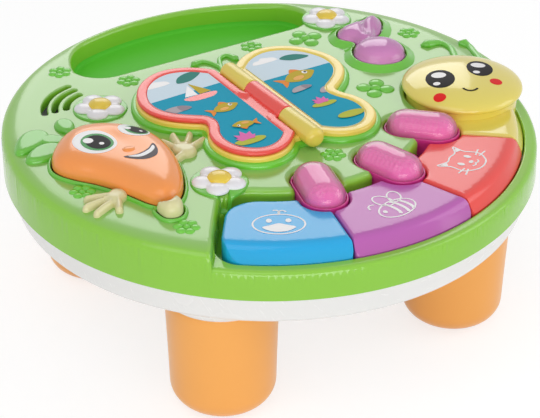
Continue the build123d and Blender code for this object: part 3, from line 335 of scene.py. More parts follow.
# A plan outline filled and lifted by a height function, with walls down to low or a second face under it.
def relief(name, outline, height, material, low=None, holes=(), insets=(0.3, 0.7, 1.2, 1.9, 2.8, 4.0, 5.5),
           spacing=5.0, extra=None, under=None):
    outline = counterClockwise(np.asarray(outline))
    inner = []
    for amount in insets:
        for row in [shifted(outline, amount)] + [shifted(h, -amount) for h in holes]:
            if len(row):
                inner.append(row[::max(1, int(amount / 3))])
    (x0, y0), (x1, y1) = outline.min(0), outline.max(0)
    gx, gy = np.meshgrid(np.arange(x0, x1, spacing), np.arange(y0, y1, spacing * 0.866))
    gx[1::2] += spacing / 2
    grid = np.column_stack([gx.ravel(), gy.ravel()])
    inner.append(grid[nearest(grid, outline, holes) > (insets[-1] if insets else 0) + spacing * 0.4])
    if extra is not None:
        inner.append(extra)
    inner = np.vstack(inner)
    xy, faces = filled(outline, holes, inner[nearest(inner, outline, holes) > 0.12], 1e-3)
    depth = np.maximum(nearest(xy, outline, holes), 0)
    top = np.column_stack([xy, height(xy[:, 0], xy[:, 1], depth)])
    allFaces = [tuple(int(i) for i in f) for f in faces]
    sides = dict.fromkeys((f[k], f[(k + 1) % 3]) for f in allFaces for k in range(3))
    rim = [(a, b) for a, b in sides if (b, a) not in sides]
    verts, size = [top], len(top)
    if under is not None:
        verts.append(np.column_stack([xy, under(xy[:, 0], xy[:, 1], depth)]))
        allFaces += [tuple(size + i for i in reversed(f)) for f in allFaces]
        allFaces += [(a, size + a, size + b, b) for a, b in rim]
    elif low is not None:
        used = sorted({v for edge in rim for v in edge})
        where = {v: size + k for k, v in enumerate(used)}
        foot = top[used].copy()
        foot[:, 2] = low(foot[:, 0], foot[:, 1]) if callable(low) else low
        verts.append(foot)
        allFaces += [(a, where[a], where[b], b) for a, b in rim]
    return mesh(name, np.vstack(verts), allFaces, material, sharp=50)


def roundOver(depth, top, radius):  # flat top with a rounded edge
    d = np.clip(depth, 0, radius)
    return top - radius + np.sqrt(np.maximum(radius ** 2 - (radius - d) ** 2, 0))


def dome(depth, low, top, reach, power=2.2):  # swelling top, fullest at reach from the edge
    d = np.clip(depth / reach, 0, 1)
    return low + (top - low) * (1 - (1 - d) ** power) ** (1 / power)


def ringFaces(rows, count):  # faces between rows of point numbers; a row of one point closes the end
    faces = []
    for low, high in zip(rows, rows[1:]):
        for k in range(count):
            n = (k + 1) % count
            if len(low) == 1:
                faces.append((low[0], high[n], high[k]))
            elif len(high) == 1:
                faces.append((low[k], low[n], high[0]))
            else:
                faces.append((low[k], low[n], high[n], high[k]))
    return faces


def lathe(name, line, material, x=0, y=0, count=96):  # rows of (radius, height) turned round a vertical axis
    a = np.linspace(0, 2 * math.pi, count, endpoint=False)
    points, rows = [], []
    for r, z in np.array(line, float):
        if r < 1e-6:
            rows.append([len(points)])
            points.append((x, y, z))
        else:
            rows.append(list(range(len(points), len(points) + count)))
            points += [(x + r * math.cos(t), y + r * math.sin(t), z) for t in a]
    return mesh(name, np.array(points), ringFaces(rows, count), material, sharp=40)


def arcPoints(cx, cz, r, a0, a1, count=8):  # part of a circle in a profile, degrees from +r
    return [(cx + r * math.cos(math.radians(a)), cz + r * math.sin(math.radians(a)))
            for a in np.linspace(a0, a1, count)]


def barY(name, y0, y1, radius, x, z, material, front, back):  # round bar along Y with soft ends
    line = [(0, y0)] + arcPoints(radius - front, y0 + front, front, -90, 0, 8)
    line += arcPoints(radius - back, y1 - back, back, 0, 90, 8) + [(0, y1)]
    thing = lathe(name, line, material, count=48)
    for v in thing.data.vertices:
        px, py, pz = v.co
        v.co = (px + x * mm, pz, -py + z * mm)
    thing.data.update()
    return thing


# Plan outlines shared by several pieces.
def polar(r, bearing):
    a = math.radians(bearing)
    return np.array([r * math.sin(a), -r * math.cos(a)])


def sidePoint(r, bearing, shift):
    a = math.radians(bearing)
    along = math.sqrt(r * r - shift * shift)
    return np.array([along * math.sin(a) + shift * math.cos(a), -along * math.cos(a) + shift * math.sin(a)])


def roundedLoop(depthAt, x0, x1, y0, y1, step=1.0):  # outline of the region where depthAt is positive
    nx, ny = int((x1 - x0) / step) + 1, int((y1 - y0) / step) + 1
    gx, gy = np.meshgrid(np.linspace(x0, x1, nx), np.linspace(y0, y1, ny))
    value = depthAt(np.column_stack([gx.ravel(), gy.ravel()])).reshape(gx.shape)
    value = np.where(np.abs(value) < 1e-6, 1e-6, value)
    segments, high = {}, value > 0
    for j, i in zip(*np.nonzero(high[:-1, :-1] + high[:-1, 1:] + high[1:, :-1] + high[1:, 1:])):
        corner = [(i, j), (i + 1, j), (i + 1, j + 1), (i, j + 1), (i, j)]
        cuts = [(high[a[::-1]], tuple(sorted((a, b)))) for a, b in zip(corner, corner[1:])
                if high[a[::-1]] != high[b[::-1]]]
        segments.update(zip([c for up, c in cuts if up], [c for up, c in cuts if not up]))

    def place(edge):
        (ia, ja), (ib, jb) = edge
        a, b = value[ja, ia], value[jb, ib]
        t = a / (a - b)
        return (gx[ja, ia] * (1 - t) + gx[jb, ib] * t, gy[ja, ia] * (1 - t) + gy[jb, ib] * t)

    best = []
    while segments:
        first, now = segments.popitem()
        chain = [first]
        while now != first and now in segments:
            chain.append(now)
            now = segments.pop(now)
        if len(chain) > len(best):
            best = chain
    return evenLoop(np.array([place(e) for e in best]), step * 1.2) if len(best) > 4 else np.zeros((0, 2))


def smoothUnion(a, b, k):
    h = np.clip(0.5 + 0.5 * (a - b) / k, 0, 1)
    return b + (a - b) * h + k * h * (1 - h)


def boxDepth(points, cx, cy, hx, hy, turn, r):
    c, s = math.cos(math.radians(turn)), math.sin(math.radians(turn))
    x = (points[:, 0] - cx) * c + (points[:, 1] - cy) * s
    y = -(points[:, 0] - cx) * s + (points[:, 1] - cy) * c
    qx, qy = np.abs(x) - hx + r, np.abs(y) - hy + r
    return r - (np.hypot(np.maximum(qx, 0), np.maximum(qy, 0)) + np.minimum(np.maximum(qx, qy), 0))


def stadiumDepth(points, cx, cy, length, width, turn):
    return boxDepth(points, cx, cy, length / 2, width / 2, turn, width / 2)


def endDepth(points, reach):  # depth inside the straight left end of the keyboard
    a = math.radians(table["fanStart"] + fan["endTurn"])
    return reach + points[:, 0] * math.cos(a) + points[:, 1] * math.sin(a)


fanStart, keyPitch = table["fanStart"], table["keyPitch"]
fanEnd = fanStart + 4 * keyPitch
head = {"x": 134.5, "y": -46.5, "r": 43.5, "skirt": 40.5, "edge": 5.2, "top": 14.5, "hole": 41.3, "low": 17.8}
pill = {"length": 50.0, "width": 28.5, "at": 108.5, "top": 9.6}


def roundCorners(edges, corners):  # the least of the edge depths, rounded where two of them meet
    out = np.minimum.reduce(edges)
    for (i, j), c in corners:
        u, v = edges[i], edges[j]
        out = np.where((u < c) & (v < c), np.minimum(out, c - np.hypot(c - u, c - v)), out)
    return out


def fanRound(points, r0, r1, b0, b1, side, corners, reach=None):  # fan with its own rounding at each corner
    x, y = points.T
    r = np.hypot(x, y)
    d0, d1 = math.radians(b0), math.radians(b1)
    left = x * math.cos(d0) + y * math.sin(d0) + side if reach is None else endDepth(points, reach)
    right = -(x * math.cos(d1) + y * math.sin(d1)) + side
    return roundCorners((r - r0, r1 - r, left, right), zip(((0, 2), (0, 3), (1, 2), (1, 3)), corners))


def pillDepth(points, n, grow):
    x, y = polar(pill["at"], pillBearings[n])
    return stadiumDepth(points, x, y, pill["length"] + 2 * grow, pill["width"] + 2 * grow,
                        pillBearings[n] - 90)


def pocketDepth(points):
    out = fanRound(points, fan["wallIn"], fan["wallOut"], fanStart, fanEnd, fan["wallSide"], fan["wallCorners"],
                   fan["wallEnd"])
    x, y = points.T
    headHole = np.minimum(head["hole"] - np.hypot(x - head["x"], y - head["y"]), fan["wallOut"] - np.hypot(x, y))
    out = np.maximum(out, headHole)
    for n in range(3):
        out = smoothUnion(out, pillDepth(points, n, 1.9), 3.0)
    return out


tray = {"left": -90, "right": 109.5, "near": 108.5, "far": 181.0, "hollow": 3.2}


def trayDepth(points):
    x, y = points.T
    edges = (x - tray["left"], tray["right"] - x, y - tray["near"], tray["far"] - np.hypot(x, y))
    return roundCorners(edges, (((0, 2), 24), ((1, 2), 24), ((0, 3), 28), ((1, 3), 12)))


radishBulb = [(115, 10.5), (103.5, 14.5), (96, 24.5), (96, 35), (101.5, 45), (108, 50.5), (108.5, 56),
              (103.5, 64), (104.5, 71.5), (111, 78.5), (122, 81), (134, 83.5), (143.5, 85.5), (148, 81.5),
              (146.5, 73.5), (141, 65), (134, 57.5), (128.5, 54), (131.5, 49), (135.5, 41), (135.5, 30),
              (130, 18), (123.5, 12.5)]
carrotBody = [(-168, 3), (-163, 14), (-152, 26.5), (-142, 33), (-132, 35.5), (-121, 33), (-109, 26),
              (-99, 15), (-93.5, 3), (-91.5, -11), (-92.5, -26), (-95.5, -40), (-100.5, -54), (-107.5, -67),
              (-116, -76), (-126, -78), (-133, -71), (-138, -59), (-143.5, -45), (-152, -30), (-161, -18),
              (-167, -7)]
wing = [(7.2, 59.5), (17.5, 69.5), (27.5, 75.5), (38.5, 78.5), (49.5, 77.5), (60.5, 72.5), (70, 64),
        (77, 53), (81, 41), (81.2, 29), (77.8, 18), (71, 8.5), (62, 0.5), (54.8, -5.5), (56, -13),
        (60.5, -22), (62.7, -32), (62, -42), (58.8, -51), (53, -58.5), (45, -64), (36, -66.3),
        (26.5, -65), (17, -60), (7.2, -50.5)]
book = {"x": -2.5, "boss": deckZ + 3.5, "base": deckZ + 7.0, "page": deckZ + 7.2, "pageTop": deckZ + 10.7,
        "axis": deckZ + 8.95, "frame": 7.8, "spine": 7.2}


def wingLoop(side):  # one wing, its inner edge straight
    fine = spline(wing, 10)
    fine[:, 0] = book["x"] + side * fine[:, 0]
    return counterClockwise(evenLoop(fine, 1.4))


leftWing, rightWing = wingLoop(-1), wingLoop(1)


def bookDepth(points):
    both = np.maximum(depthIn(points, leftWing), depthIn(points, rightWing))
    return np.maximum(both, boxDepth(points, book["x"], 4, 9, 57, 0, 1))


radishLoop = smoothLoop(radishBulb)
carrotLoop = smoothLoop(carrotBody)
tipLoop = smoothLoop([(-133.5, -79), (-128, -82), (-120, -79), (-117.5, -84), (-121, -91), (-127, -93.6),
                      (-133, -90)], 1.0)


def carrotGrown(amount):  # the carrot and its tip as one outline, grown all round
    return roundedLoop(lambda p: np.maximum(depthIn(p, carrotLoop), depthIn(p, tipLoop)) + amount,
                       -180, -80, -105, 45, 1.0)


carrotHole = carrotGrown(0.5)
pocketLoop = roundedLoop(pocketDepth, -150, 195, -195, 10, 1.0)
trayLoop = roundedLoop(trayDepth, -100, 115, 100, 190, 1.0)
print("outlines made:", len(pocketLoop), len(trayLoop))


# Green top shell: flat deck, soft slope, round shoulder and nearly upright side.
def bend(start, end, lean, count=11):  # arc leaving its start at the given lean; the lean at its end comes last
    dx, dz = end[0] - start[0], end[1] - start[1]
    h = math.atan2(dz, dx) - lean
    size = math.hypot(dx, dz) / math.sin(h)
    t = np.linspace(0, 1, count)
    arc = np.column_stack([start[0] + size * np.sin(h * t) * np.cos(lean + h * t),
                           start[1] + size * np.sin(h * t) * np.sin(lean + h * t)])
    return arc, lean + 2 * h


def profile(parts):
    rows = np.vstack(parts)
    return np.maximum.accumulate(rows[:, 0]), rows[:, 1]


slope, slopeLean = bend((172, deckZ), (184.8, deckZ - 1.2), 0)
seam = [(table["radius"], table["seamZ"])]
rimCurve = profile([[(0, deckZ)], slope, bend(slope[-1], (189.7, deckZ - 7.2), slopeLean, 17)[0], seam])
ledgeCurve = profile([[(0, table["ledgeZ"])], bend((186, table["ledgeZ"]), (189.2, table["ledgeZ"] - 3.6), 0)[0],
                      seam])


def rimHeight(r):
    return np.interp(r, *rimCurve)


def ledgeHeight(r):
    return np.interp(r, *ledgeCurve)


recess = {"from": 120, "round": 3.4, "drop": 5.0, "lip": 0.9, "deckLip": 4.2}


def recessDepth(x, y):  # positive where the rim is lowered in front of the keys
    points = np.column_stack([x, y])
    d = math.radians(fanEnd)
    return np.minimum.reduce([np.hypot(x, y) - recess["from"], endDepth(points, fan["wallEnd"]),
                              fan["wallSide"] - x * math.cos(d) - y * math.sin(d)])


def shellHeight(x, y, depth=None):
    r = np.hypot(x, y)
    high, low = rimHeight(r), ledgeHeight(r)
    inside = recessDepth(x, y)
    step = np.clip((inside + recess["round"]) / recess["round"], 0, 1)  # round corner at each end of the lowered rim
    drop = 1 - np.sqrt(np.maximum(1 - step ** 2, 0))
    base = high - np.minimum(drop * recess["drop"], np.maximum(high - low, 0))
    base = np.where(inside > 0.25, low, np.where(inside > 0, np.minimum(base, low + 1), base))
    if depth is not None:
        lip = np.where(inside > 0, recess["lip"], recess["deckLip"])
        d = np.clip(depth, 0, lip)
        base = base - (lip - np.sqrt(np.maximum(lip ** 2 - (lip - d) ** 2, 0)))
    return base


speaker = {"x": -99.0, "y": 69.0, "rows": ((24.8, 103, 157), (32.9, 100, 162), (40.6, 100, 165)), "width": 4.4}


def slotLoop(r, a0, a1):  # bent slot of the speaker grille
    half = speaker["width"] / 2
    a = np.radians(np.linspace(a0, a1, 24))
    loop = [(r + half, t) for t in a] + [(r - half, t) for t in a[::-1]]
    loop = [(speaker["x"] + q * math.cos(t), speaker["y"] + q * math.sin(t)) for q, t in loop]
    ends = []
    for t, way in ((a[-1], 1), (a[0], -1)):
        cx, cy = speaker["x"] + r * math.cos(t), speaker["y"] + r * math.sin(t)
        ends.append([(cx + half * math.cos(t + way * s), cy + half * math.sin(t + way * s))
                     for s in np.linspace(0, math.pi, 9)])
    return evenLoop(np.array(loop[:24] + ends[0][1:-1] + loop[24:] + ends[1][::-1][1:-1]), 1.0)


slotLoops = [slotLoop(*row) for row in speaker["rows"]]


def holeDepth(x, y):
    points = np.column_stack([x, y])
    return -np.maximum(pocketDepth(points), trayDepth(points))


def slotGap(points):
    return np.minimum.reduce([edgeDistance(points, loop) for loop in slotLoops])


def deckHeight(x, y, depth):
    points = np.column_stack([x, y])
    gap = np.minimum(edgeDistance(points, pocketLoop), edgeDistance(points, trayLoop))
    return shellHeight(x, y, gap) - (1.0 - np.sqrt(1 - (1 - np.clip(slotGap(points), 0, 1.0)) ** 2))


rimRows = [189.85, 189.72, 189.5, 189.2, 188.8, 188.3, 187.7, 187.0, 186.2, 185.3, 184.3, 183, 181, 178.5, 175.5,
           172.5, 168, 160]
extra = []
for k, r in enumerate(rimRows):
    a = np.linspace(0, 2 * math.pi, 260, endpoint=False) + 0.012 * (k % 2)
    extra.append(np.column_stack([r * np.cos(a), r * np.sin(a)]))
for shift in (-0.4, -0.15, 0.05, 0.35, 0.8, 1.4, 2.1, 3.0, 3.6, 4.4):  # close rows along both ends of the lowered rim
    for bearing, side in ((fanEnd, fan["wallSide"] + shift), (fanStart + fan["endTurn"], -fan["wallEnd"] - shift)):
        extra.append(np.array([sidePoint(r, bearing, side) for r in np.linspace(176, 189.9, 22)]))
extra = np.vstack(extra)
keep = (holeDepth(*extra.T) > 0.3) & (np.hypot(*extra.T) < 189.95)
rimCircle = circleLoop(0, 0, table["radius"], 4.0)


def holeFoot(x, y):  # how far the walls go down: seam outside, tray floor, pocket floor
    points = np.column_stack([x, y])
    r = np.hypot(x, y)
    foot = np.where(trayDepth(points) > -1.5, table["trayZ"] + 3, table["pocketZ"])
    foot = np.where(slotGap(points) < 0.5, deckZ - 9, foot)
    foot = np.where(edgeDistance(points, carrotHole) < 0.5, deckZ - 6, foot)
    return np.where(r > 189, table["seamZ"], foot)


seat(relief("topShell", rimCircle, deckHeight, green, low=holeFoot,
            holes=[pocketLoop, trayLoop, carrotHole] + slotLoops,
            insets=(0.35, 0.8, 1.3, 2.0, 2.8, 3.6, 4.4), spacing=9.0, extra=extra[keep]), "table", "top_shell")
print("top shell made")
seat(relief("pocketFloor", pocketLoop, lambda x, y, d: np.full(len(x), table["pocketZ"]), greenDeep, insets=(),
            spacing=60), "table")


def bowlHeight(x, y, d):  # flat floor with a hollow corner under the walls
    r = tray["hollow"]
    return table["trayZ"] + r - np.sqrt(r ** 2 - (r - np.clip(d, 0, r)) ** 2)


seat(relief("trayFloor", trayLoop, bowlHeight, greenTray, insets=(0.3, 0.7, 1.2, 1.8, 2.5, 3.2), spacing=30), "table")


# White base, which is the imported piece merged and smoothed, and legs.
work = bmesh.new()
work.from_mesh(nodes["base_shell"].data)
bmesh.ops.remove_doubles(work, verts=work.verts, dist=2e-6)
bmesh.ops.dissolve_limit(work, angle_limit=math.radians(0.4), verts=work.verts, edges=work.edges)
baseData = bpy.data.meshes.new("whiteBase")
work.to_mesh(baseData)
work.free()
for label in [a.name for a in baseData.attributes if a.name.startswith("custom")]:
    baseData.attributes.remove(baseData.attributes[label])
baseData.materials.clear()
baseData.materials.append(whiteBase)
for face in baseData.polygons:
    face.use_smooth = True
    face.material_index = 0
baseData.set_sharp_from_angle(angle=math.radians(30))
seat(placeObject("whiteBase", baseData), "table", "base_shell")

leg = {"foot": 36.5, "round": 16.0, "spread": 137.0 / math.sqrt(2)}
legLine = [(0, 0), (14, 0)]
legLine += [(leg["foot"] - leg["round"] * (1 - math.sin(t)), leg["round"] * (1 - math.cos(t)))
            for t in np.linspace(0.03, math.pi / 2, 14)]
legLine += [(36.9, 34), (37.6, 58), (38.3, 80)]
legLine += [(r, table["collarZ"] + z) for r, z in ((38.5, -1.1), (38.1, -0.3), (37.2, 0), (31.2, 0), (31.2, 15))]
for end, sy in (("Front", -1), ("Rear", 1)):
    for side, sx in (("Left", -1), ("Right", 1)):
        shown = lathe("leg" + end + side, legLine, orange, sx * leg["spread"], sy * leg["spread"])
        seat(shown, "table", "leg_%s_%s" % (end.lower(), side.lower()))
print("base and legs made")


# Raised shapes of the deck.
def onDeck(name, outline, rise, soft, material=greenDeep, **more):
    return seat(relief(name, outline, lambda x, y, d: shellHeight(x, y) + roundOver(d, rise, soft), material,
                       low=lambda x, y: shellHeight(x, y) - 1.5, **more), "table")


def turnedAt(u, v, x, y, turn):
    c, s = math.cos(math.radians(turn)), math.sin(math.radians(turn))
    return np.column_stack([x + u * c - v * s, y + u * s + v * c])


def leafShape(x, y, a, b, turn):  # pointed leaf lobe
    t = np.linspace(0, 2 * math.pi, 60, endpoint=False)
    return turnedAt(a * np.cos(t), b * np.sin(t) * (0.82 + 0.18 * np.cos(t)), x, y, turn)


def ovalPath(cx, cy, a, b, turn=0, t0=0, t1=360, count=36):
    t = np.radians(np.linspace(t0, t1, count, endpoint=(t1 - t0) < 359.9))
    return turnedAt(a * np.cos(t), b * np.sin(t), cx, cy, turn)


onDeck("bookBoss", roundedLoop(lambda p: bookDepth(p) + 3.6, -95, 90, -80, 90, 1.0), 3.5, 2.6, spacing=12)
onDeck("carrotPad", carrotGrown(3.2), 2.4, 2.0, greenLeaf, holes=[carrotHole], spacing=12)


for n, (x, y, a, b, turn) in enumerate(((-165, 45, 17, 12.5, 35), (-163.5, 26, 15.5, 12, 15),
                                        (-135, 53, 10.5, 8.5, 80), (-150, 37, 12, 9.5, 140))):
    onDeck("greenLeaf%d" % n, evenLoop(leafShape(x, y, a, b, turn), 1.4), 3.6, 3.4, greenLeaf, spacing=6)

collarHole = shifted(radishLoop, -0.9)
collarLow = smoothLoop(shifted(radishLoop, -7.5)[::6], 1.5)


def collarHeight(x, y, d):
    points = np.column_stack([x, y])
    out = -depthIn(points, radishLoop)
    rise = np.clip((7.8 - out) / 6.2, 0, 1)
    return shellHeight(x, y) + 4.2 * rise ** 1.3 * (1 - 0.25 * np.clip((1.8 - out) / 1.0, 0, 1) ** 2)


seat(relief("radishCollar", collarLow, collarHeight, greenDeep, low=lambda x, y: shellHeight(x, y) - 2,
            holes=[collarHole], insets=(0.4, 1.0, 1.8, 2.8, 4.0, 5.2), spacing=7), "table")


def embossTree():  # small raised flowers: petals round each point, joined with a bead
    tree, start, end = newTree("embossedFlowers", "GeometryNodeTree", [
        ("Geometry", "Geometry"), ("Petals", "Int", 5), ("Petal Size", "Float", 0.0036), ("Reach", "Float", 0.0052),
        ("Rise", "Float", 0.45), ("Seed", "Int", 4), ("Material", "Material")], [("Geometry", "Geometry")])
    given = start.outputs

    def add(kind, inputs, **settings):
        return addNode(tree, kind, inputs, **settings).outputs[0]

    ring = add("GeometryNodeMeshCircle", {"Vertices": given["Petals"], "Radius": given["Reach"]})
    ball = add("GeometryNodeMeshUVSphere", {"Segments": 20, "Rings": 10, "Radius": given["Petal Size"]})
    flat = add("ShaderNodeCombineXYZ", {0: 1.0, 1: 1.0, 2: given["Rise"]})
    petals = add("GeometryNodeInstanceOnPoints", {"Points": ring, "Instance": ball, "Scale": flat})
    heart = add("GeometryNodeTransform", {"Geometry": ball, "Scale": (0.72, 0.72, 0.5)})
    both = addNode(tree, "GeometryNodeJoinGeometry", {0: petals})
    wire(tree, both, {0: heart})
    turn = add("FunctionNodeRandomValue", {0: (0, 0, 0), 1: (0, 0, 6.28), "Seed": given["Seed"]},
               data_type="FLOAT_VECTOR")
    spread = add("GeometryNodeInstanceOnPoints", {
        "Points": given["Geometry"], "Instance": both.outputs[0], "Rotation": turn})
    smooth = add("GeometryNodeSetShadeSmooth", {0: add("GeometryNodeRealizeInstances", {0: spread})})
    wire(tree, end, {0: add("GeometryNodeSetMaterial", {0: smooth, "Material": given["Material"]})})
    return tree


flowerTree = embossTree()


def grow(name, places, **values):  # a flower on each place of the deck, as a plain mesh
    xy = np.array(places, float)
    data = bpy.data.meshes.new(name + "Points")
    data.from_pydata([tuple(np.array((x, y, h - 0.3)) * mm) for (x, y), h in zip(xy, shellHeight(*xy.T))], [], [])
    seed = placeObject(name + "Seed", data)
    step = seed.modifiers.new("grow", "NODES")
    step.node_group = flowerTree
    for item in flowerTree.interface.items_tree:
        if item.in_out == "INPUT" and item.name.replace(" ", "") in values:
            step[item.identifier] = values[item.name.replace(" ", "")]
    bpy.context.view_layer.update()
    done = bpy.data.meshes.new_from_object(seed.evaluated_get(bpy.context.evaluated_depsgraph_get()))
    done.name = name
    bpy.data.objects.remove(seed)
    return seat(placeObject(name, done), "table")


daisies = [(-101, 133), (-64, 94), (42, 95.5), (-163, -31), (-126, -104.5), (4, -76), (158, 52.5)]
clovers = [(84.5, 86), (83.5, -10.5)]
grow("embossedDaisies", daisies, Material=greenDeep, Petals=6, PetalSize=0.0034, Reach=0.0056, Rise=0.5)
grow("embossedClovers", clovers, Material=greenDeep, Petals=4, PetalSize=0.0058, Reach=0.0084, Rise=0.42, Seed=9)


def tube(name, places, lift, radii, flat=1.0):  # round bead along a path on the deck
    path = [(x, y, float(shellHeight(np.array([x]), np.array([y]))[0]) + lift) for x, y in places]
    fine = spline(path, 8)
    way = np.gradient(fine, axis=0)
    way /= np.linalg.norm(way, axis=1)[:, None]
    points, count = [], 12
    widths = np.interp(np.linspace(0, 1, len(fine)), np.linspace(0, 1, len(radii)), radii)
    rows = [(fine[0] - way[0] * widths[0] * 0.9, 0.3, way[0])]
    rows += [(p, 1.0, w) for p, w in zip(fine, way)]
    rows.append((fine[-1] + way[-1] * widths[-1] * 0.9, 0.3, way[-1]))
    widths = np.concatenate([[widths[0]], widths, [widths[-1]]])
    for (p, s, w), r in zip(rows, widths):
        side = np.cross(w, (0, 0, 1.0))
        side /= max(np.linalg.norm(side), 1e-9)
        rise = np.cross(side, w)
        for k in range(count):
            t = 2 * math.pi * k / count
            points.append(p + s * r * (math.cos(t) * side + flat * math.sin(t) * rise))
    rings = [tuple(range(n, n + count)) for n in range(0, len(points), count)]
    faces = ringFaces(rings, count) + [rings[0][::-1], rings[-1]]
    return seat(mesh(name, np.array(points), faces, greenDeep), "table")


tube("feelerLeft", ((-4, 58), (0.5, 68), (3.2, 76), (0.8, 86), (-4.5, 91.5), (-11.2, 90)), 0.5,
     [1.9, 1.9, 1.9, 1.9, 2.2, 3.2])
tube("feelerRight", ((0, 58), (3, 72), (6, 81), (10.5, 89), (17.5, 90.5), (20.2, 82.5)), 0.5,
     [1.9, 1.9, 1.9, 1.9, 2.2, 3.2])
tube("antennaLeft", ((160, -6), (164.3, 2.1), (169.4, 14.5), (167.5, 24.5), (157, 27.5)), 0.6,
     [2.6, 2.6, 2.6, 3.0, 5.0], 0.7)
tube("antennaRight", ((176, -16), (181.3, 0), (184.2, 9), (183.6, 16.5)), 0.6, [2.6, 2.6, 2.6, 3.0, 5.0], 0.7)
print("raised shapes made")


# Piano keys.
crown, crownR = deckZ - 1.6, 168.2
nose = bend((crownR, crown), (175.8, deckZ - 6.8), math.atan2(2.4, 71.7), 13)[0]
keyCurve = profile([[(96.5, crown - 2.4)], nose, [(179.2, table["ledgeZ"] - 0.4), (190, 120)]])


def keyProfile(r):
    return np.interp(r, *keyCurve)


def keyTop(x, y, d=None):
    r = np.hypot(x, y)
    z = keyProfile(r)
    return z if d is None else np.minimum(z, roundOver(d, keyProfile(np.minimum(r, crownR)), 2.6))


def keySides(n):  # bearings of the sides of key n; the neck of the head stands in the fourth place
    return fanStart + n * keyPitch, fanEnd - fan["neckShort"] if n == 3 else fanStart + (n + 1) * keyPitch


def keyDepth(points, n, corners):
    out = fanRound(points, fan["keyIn"], fan["keyOut"], *keySides(n), fan["keySide"], corners,
                   fan["keyEnd"] if n == 0 else None)
    for m in range(3):
        if abs(m - n + 0.5) < 1:
            out = -smoothUnion(-out, pillDepth(points, m, 2.4), 1.6)
    return out


def makeKey(n, name, material, low, corners=(3, 3, 3, 3)):
    b0, b1 = keySides(n)
    b0 -= fan["endTurn"] if n == 0 else 0
    box = np.array([polar(r, b) for r in (110, 185) for b in np.linspace(b0, b1, 9)])
    (x0, y0), (x1, y1) = box.min(0) - 3, box.max(0) + 3
    outline = roundedLoop(lambda p: keyDepth(p, n, corners), x0, x1, y0, y1, 0.8)
    rows = np.array([polar(r, b) for r in (178.9, 178.4, 177.8, 177.1, 176.4, 175.7, 175.0, 174.2, 173.3, 172.2, 170.8,
                                           169.2) for b in np.linspace(b0 + 0.4, b1 - 0.4, 48)])
    return relief(name, outline, keyTop, material, low=low, insets=(0.15, 0.4, 0.8, 1.3, 1.9, 2.6), spacing=4.0,
                  extra=rows[keyDepth(rows, n, corners) > 0.15])


keyLow = table["pocketZ"] + 5
seat(makeKey(0, "blueKey", blue, keyLow, (24, 3, 15, 3)), "blue_key", "key_blue")
seat(makeKey(1, "lilacKey", lilac, keyLow), "lilac_key", "key_lilac")
seat(makeKey(2, "redKey", red, keyLow), "red_key", "key_red")
print("keys made")


# Printed shapes that follow a surface.
def printed(name, loops, surface, material, body, lift=0.12):
    points, faces = [], []
    for loop in loops:
        loop = counterClockwise(np.asarray(loop, float))
        inner = [shifted(loop, a) for a in (0.8, 2.0, 3.5, 5.5, 8.0)]
        inner = np.vstack([i for i in inner if len(i)] or [np.zeros((0, 2))])
        xy, tris = filled(loop, inner=inner[depthIn(inner, loop) > 0.4] if len(inner) else inner)
        faces += [tuple(int(i) + len(points) for i in t) for t in tris]
        points += [(a, b, c) for (a, b), c in zip(xy, surface(xy[:, 0], xy[:, 1]) + lift)]
    return seat(mesh(name, np.array(points), faces, material), body)


def drawn(name, strokes, width, surface, material, body, lift=0.14):  # pen strokes as thin strips
    points, faces = [], []
    for path, closed in strokes:
        path = np.array(path, float)
        if closed:
            path = np.vstack([path, path[:1]])
        way = np.gradient(path, axis=0)
        if closed:
            way[0] = way[-1] = path[1] - path[-2]
        way /= np.maximum(np.hypot(*way.T), 1e-9)[:, None]
        side = np.column_stack([-way[:, 1], way[:, 0]]) * width / 2
        start = len(points)
        points += [p for left, right in zip(path + side, path - side) for p in (left, right)]
        faces += [(a + 1, a + 3, a + 2, a) for a in range(start, start + 2 * len(path) - 2, 2)]
    xy = np.array(points)
    return seat(mesh(name, np.column_stack([xy, surface(xy[:, 0], xy[:, 1]) + lift]), faces, material), body)


def placed(paths, centre, turn, size=1.0):  # a drawing put on a surface; its up turns to the given side
    return [(np.asarray(p, float) @ spin(turn, size) + centre, closed) for p, closed in paths]


duckArt = [(ovalPath(0, 1.5, 13.5, 10.0, 0), True), (ovalPath(-1.5, 13.2, 2.2, 2.6, 0, -60, 120, 10), False),
           (ovalPath(2.2, 13.0, 2.0, 2.4, 0, 20, 220, 10), False)]
beeArt = [(ovalPath(0, -2, 11.5, 7.5, 12), True),
          (ovalPath(-2, 8, 4.2, 6.2, 20), True), (ovalPath(5.5, 8.6, 3.6, 5.4, -22), True),
          (ovalPath(-9, 3, 3.4, 5.0, 30, 40, 150, 10), False)]
catArt = [(smoothLoop([(-11, -2), (-9.5, 6), (-11.5, 13), (-5.5, 9.6), (0, 10.4), (5.5, 9.6), (11.5, 13), (9.5, 6),
                       (11, -2), (6, -8), (0, -9.6), (-6, -8)], 1.0), True)]
catArt += [(ovalPath(x, -3.8, 1.8, 1.6, 0, 190, 350, 8), False) for x in (-1.8, 1.8)]
catArt += [([(8 * side, y0), (14.5 * side, y1)], False) for side in (-1, 1) for y0, y1 in ((-1.5, -0.4), (-3.5, -4.6))]
keyFills = {
    "duckPrint": [smoothLoop([(-8.6, -1.6), (-4, 0.6), (0, 2.2), (4, 0.6), (8.6, -1.6), (5, -5.2), (0, -6.4),
                              (-5, -5.2)], 0.8), ovalPath(-5, 5, 1.5, 2.0), ovalPath(5, 5, 1.5, 2.0)],
    "beePrint": [ovalPath(-7.6, -2.0, 1.2, 1.5)],
    "catPrint": [evenLoop([(9.6 * side, 7.6), (10.6 * side, 11.8), (6.6 * side, 9.4)], 0.8) for side in (-1, 1)]
    + [ovalPath(-4.6, 2, 1.4, 2.2), ovalPath(4.6, 2, 1.4, 2.2), ovalPath(0, -2, 1.7, 1.2)],
}
artSize, artRadius = 1.25, 150
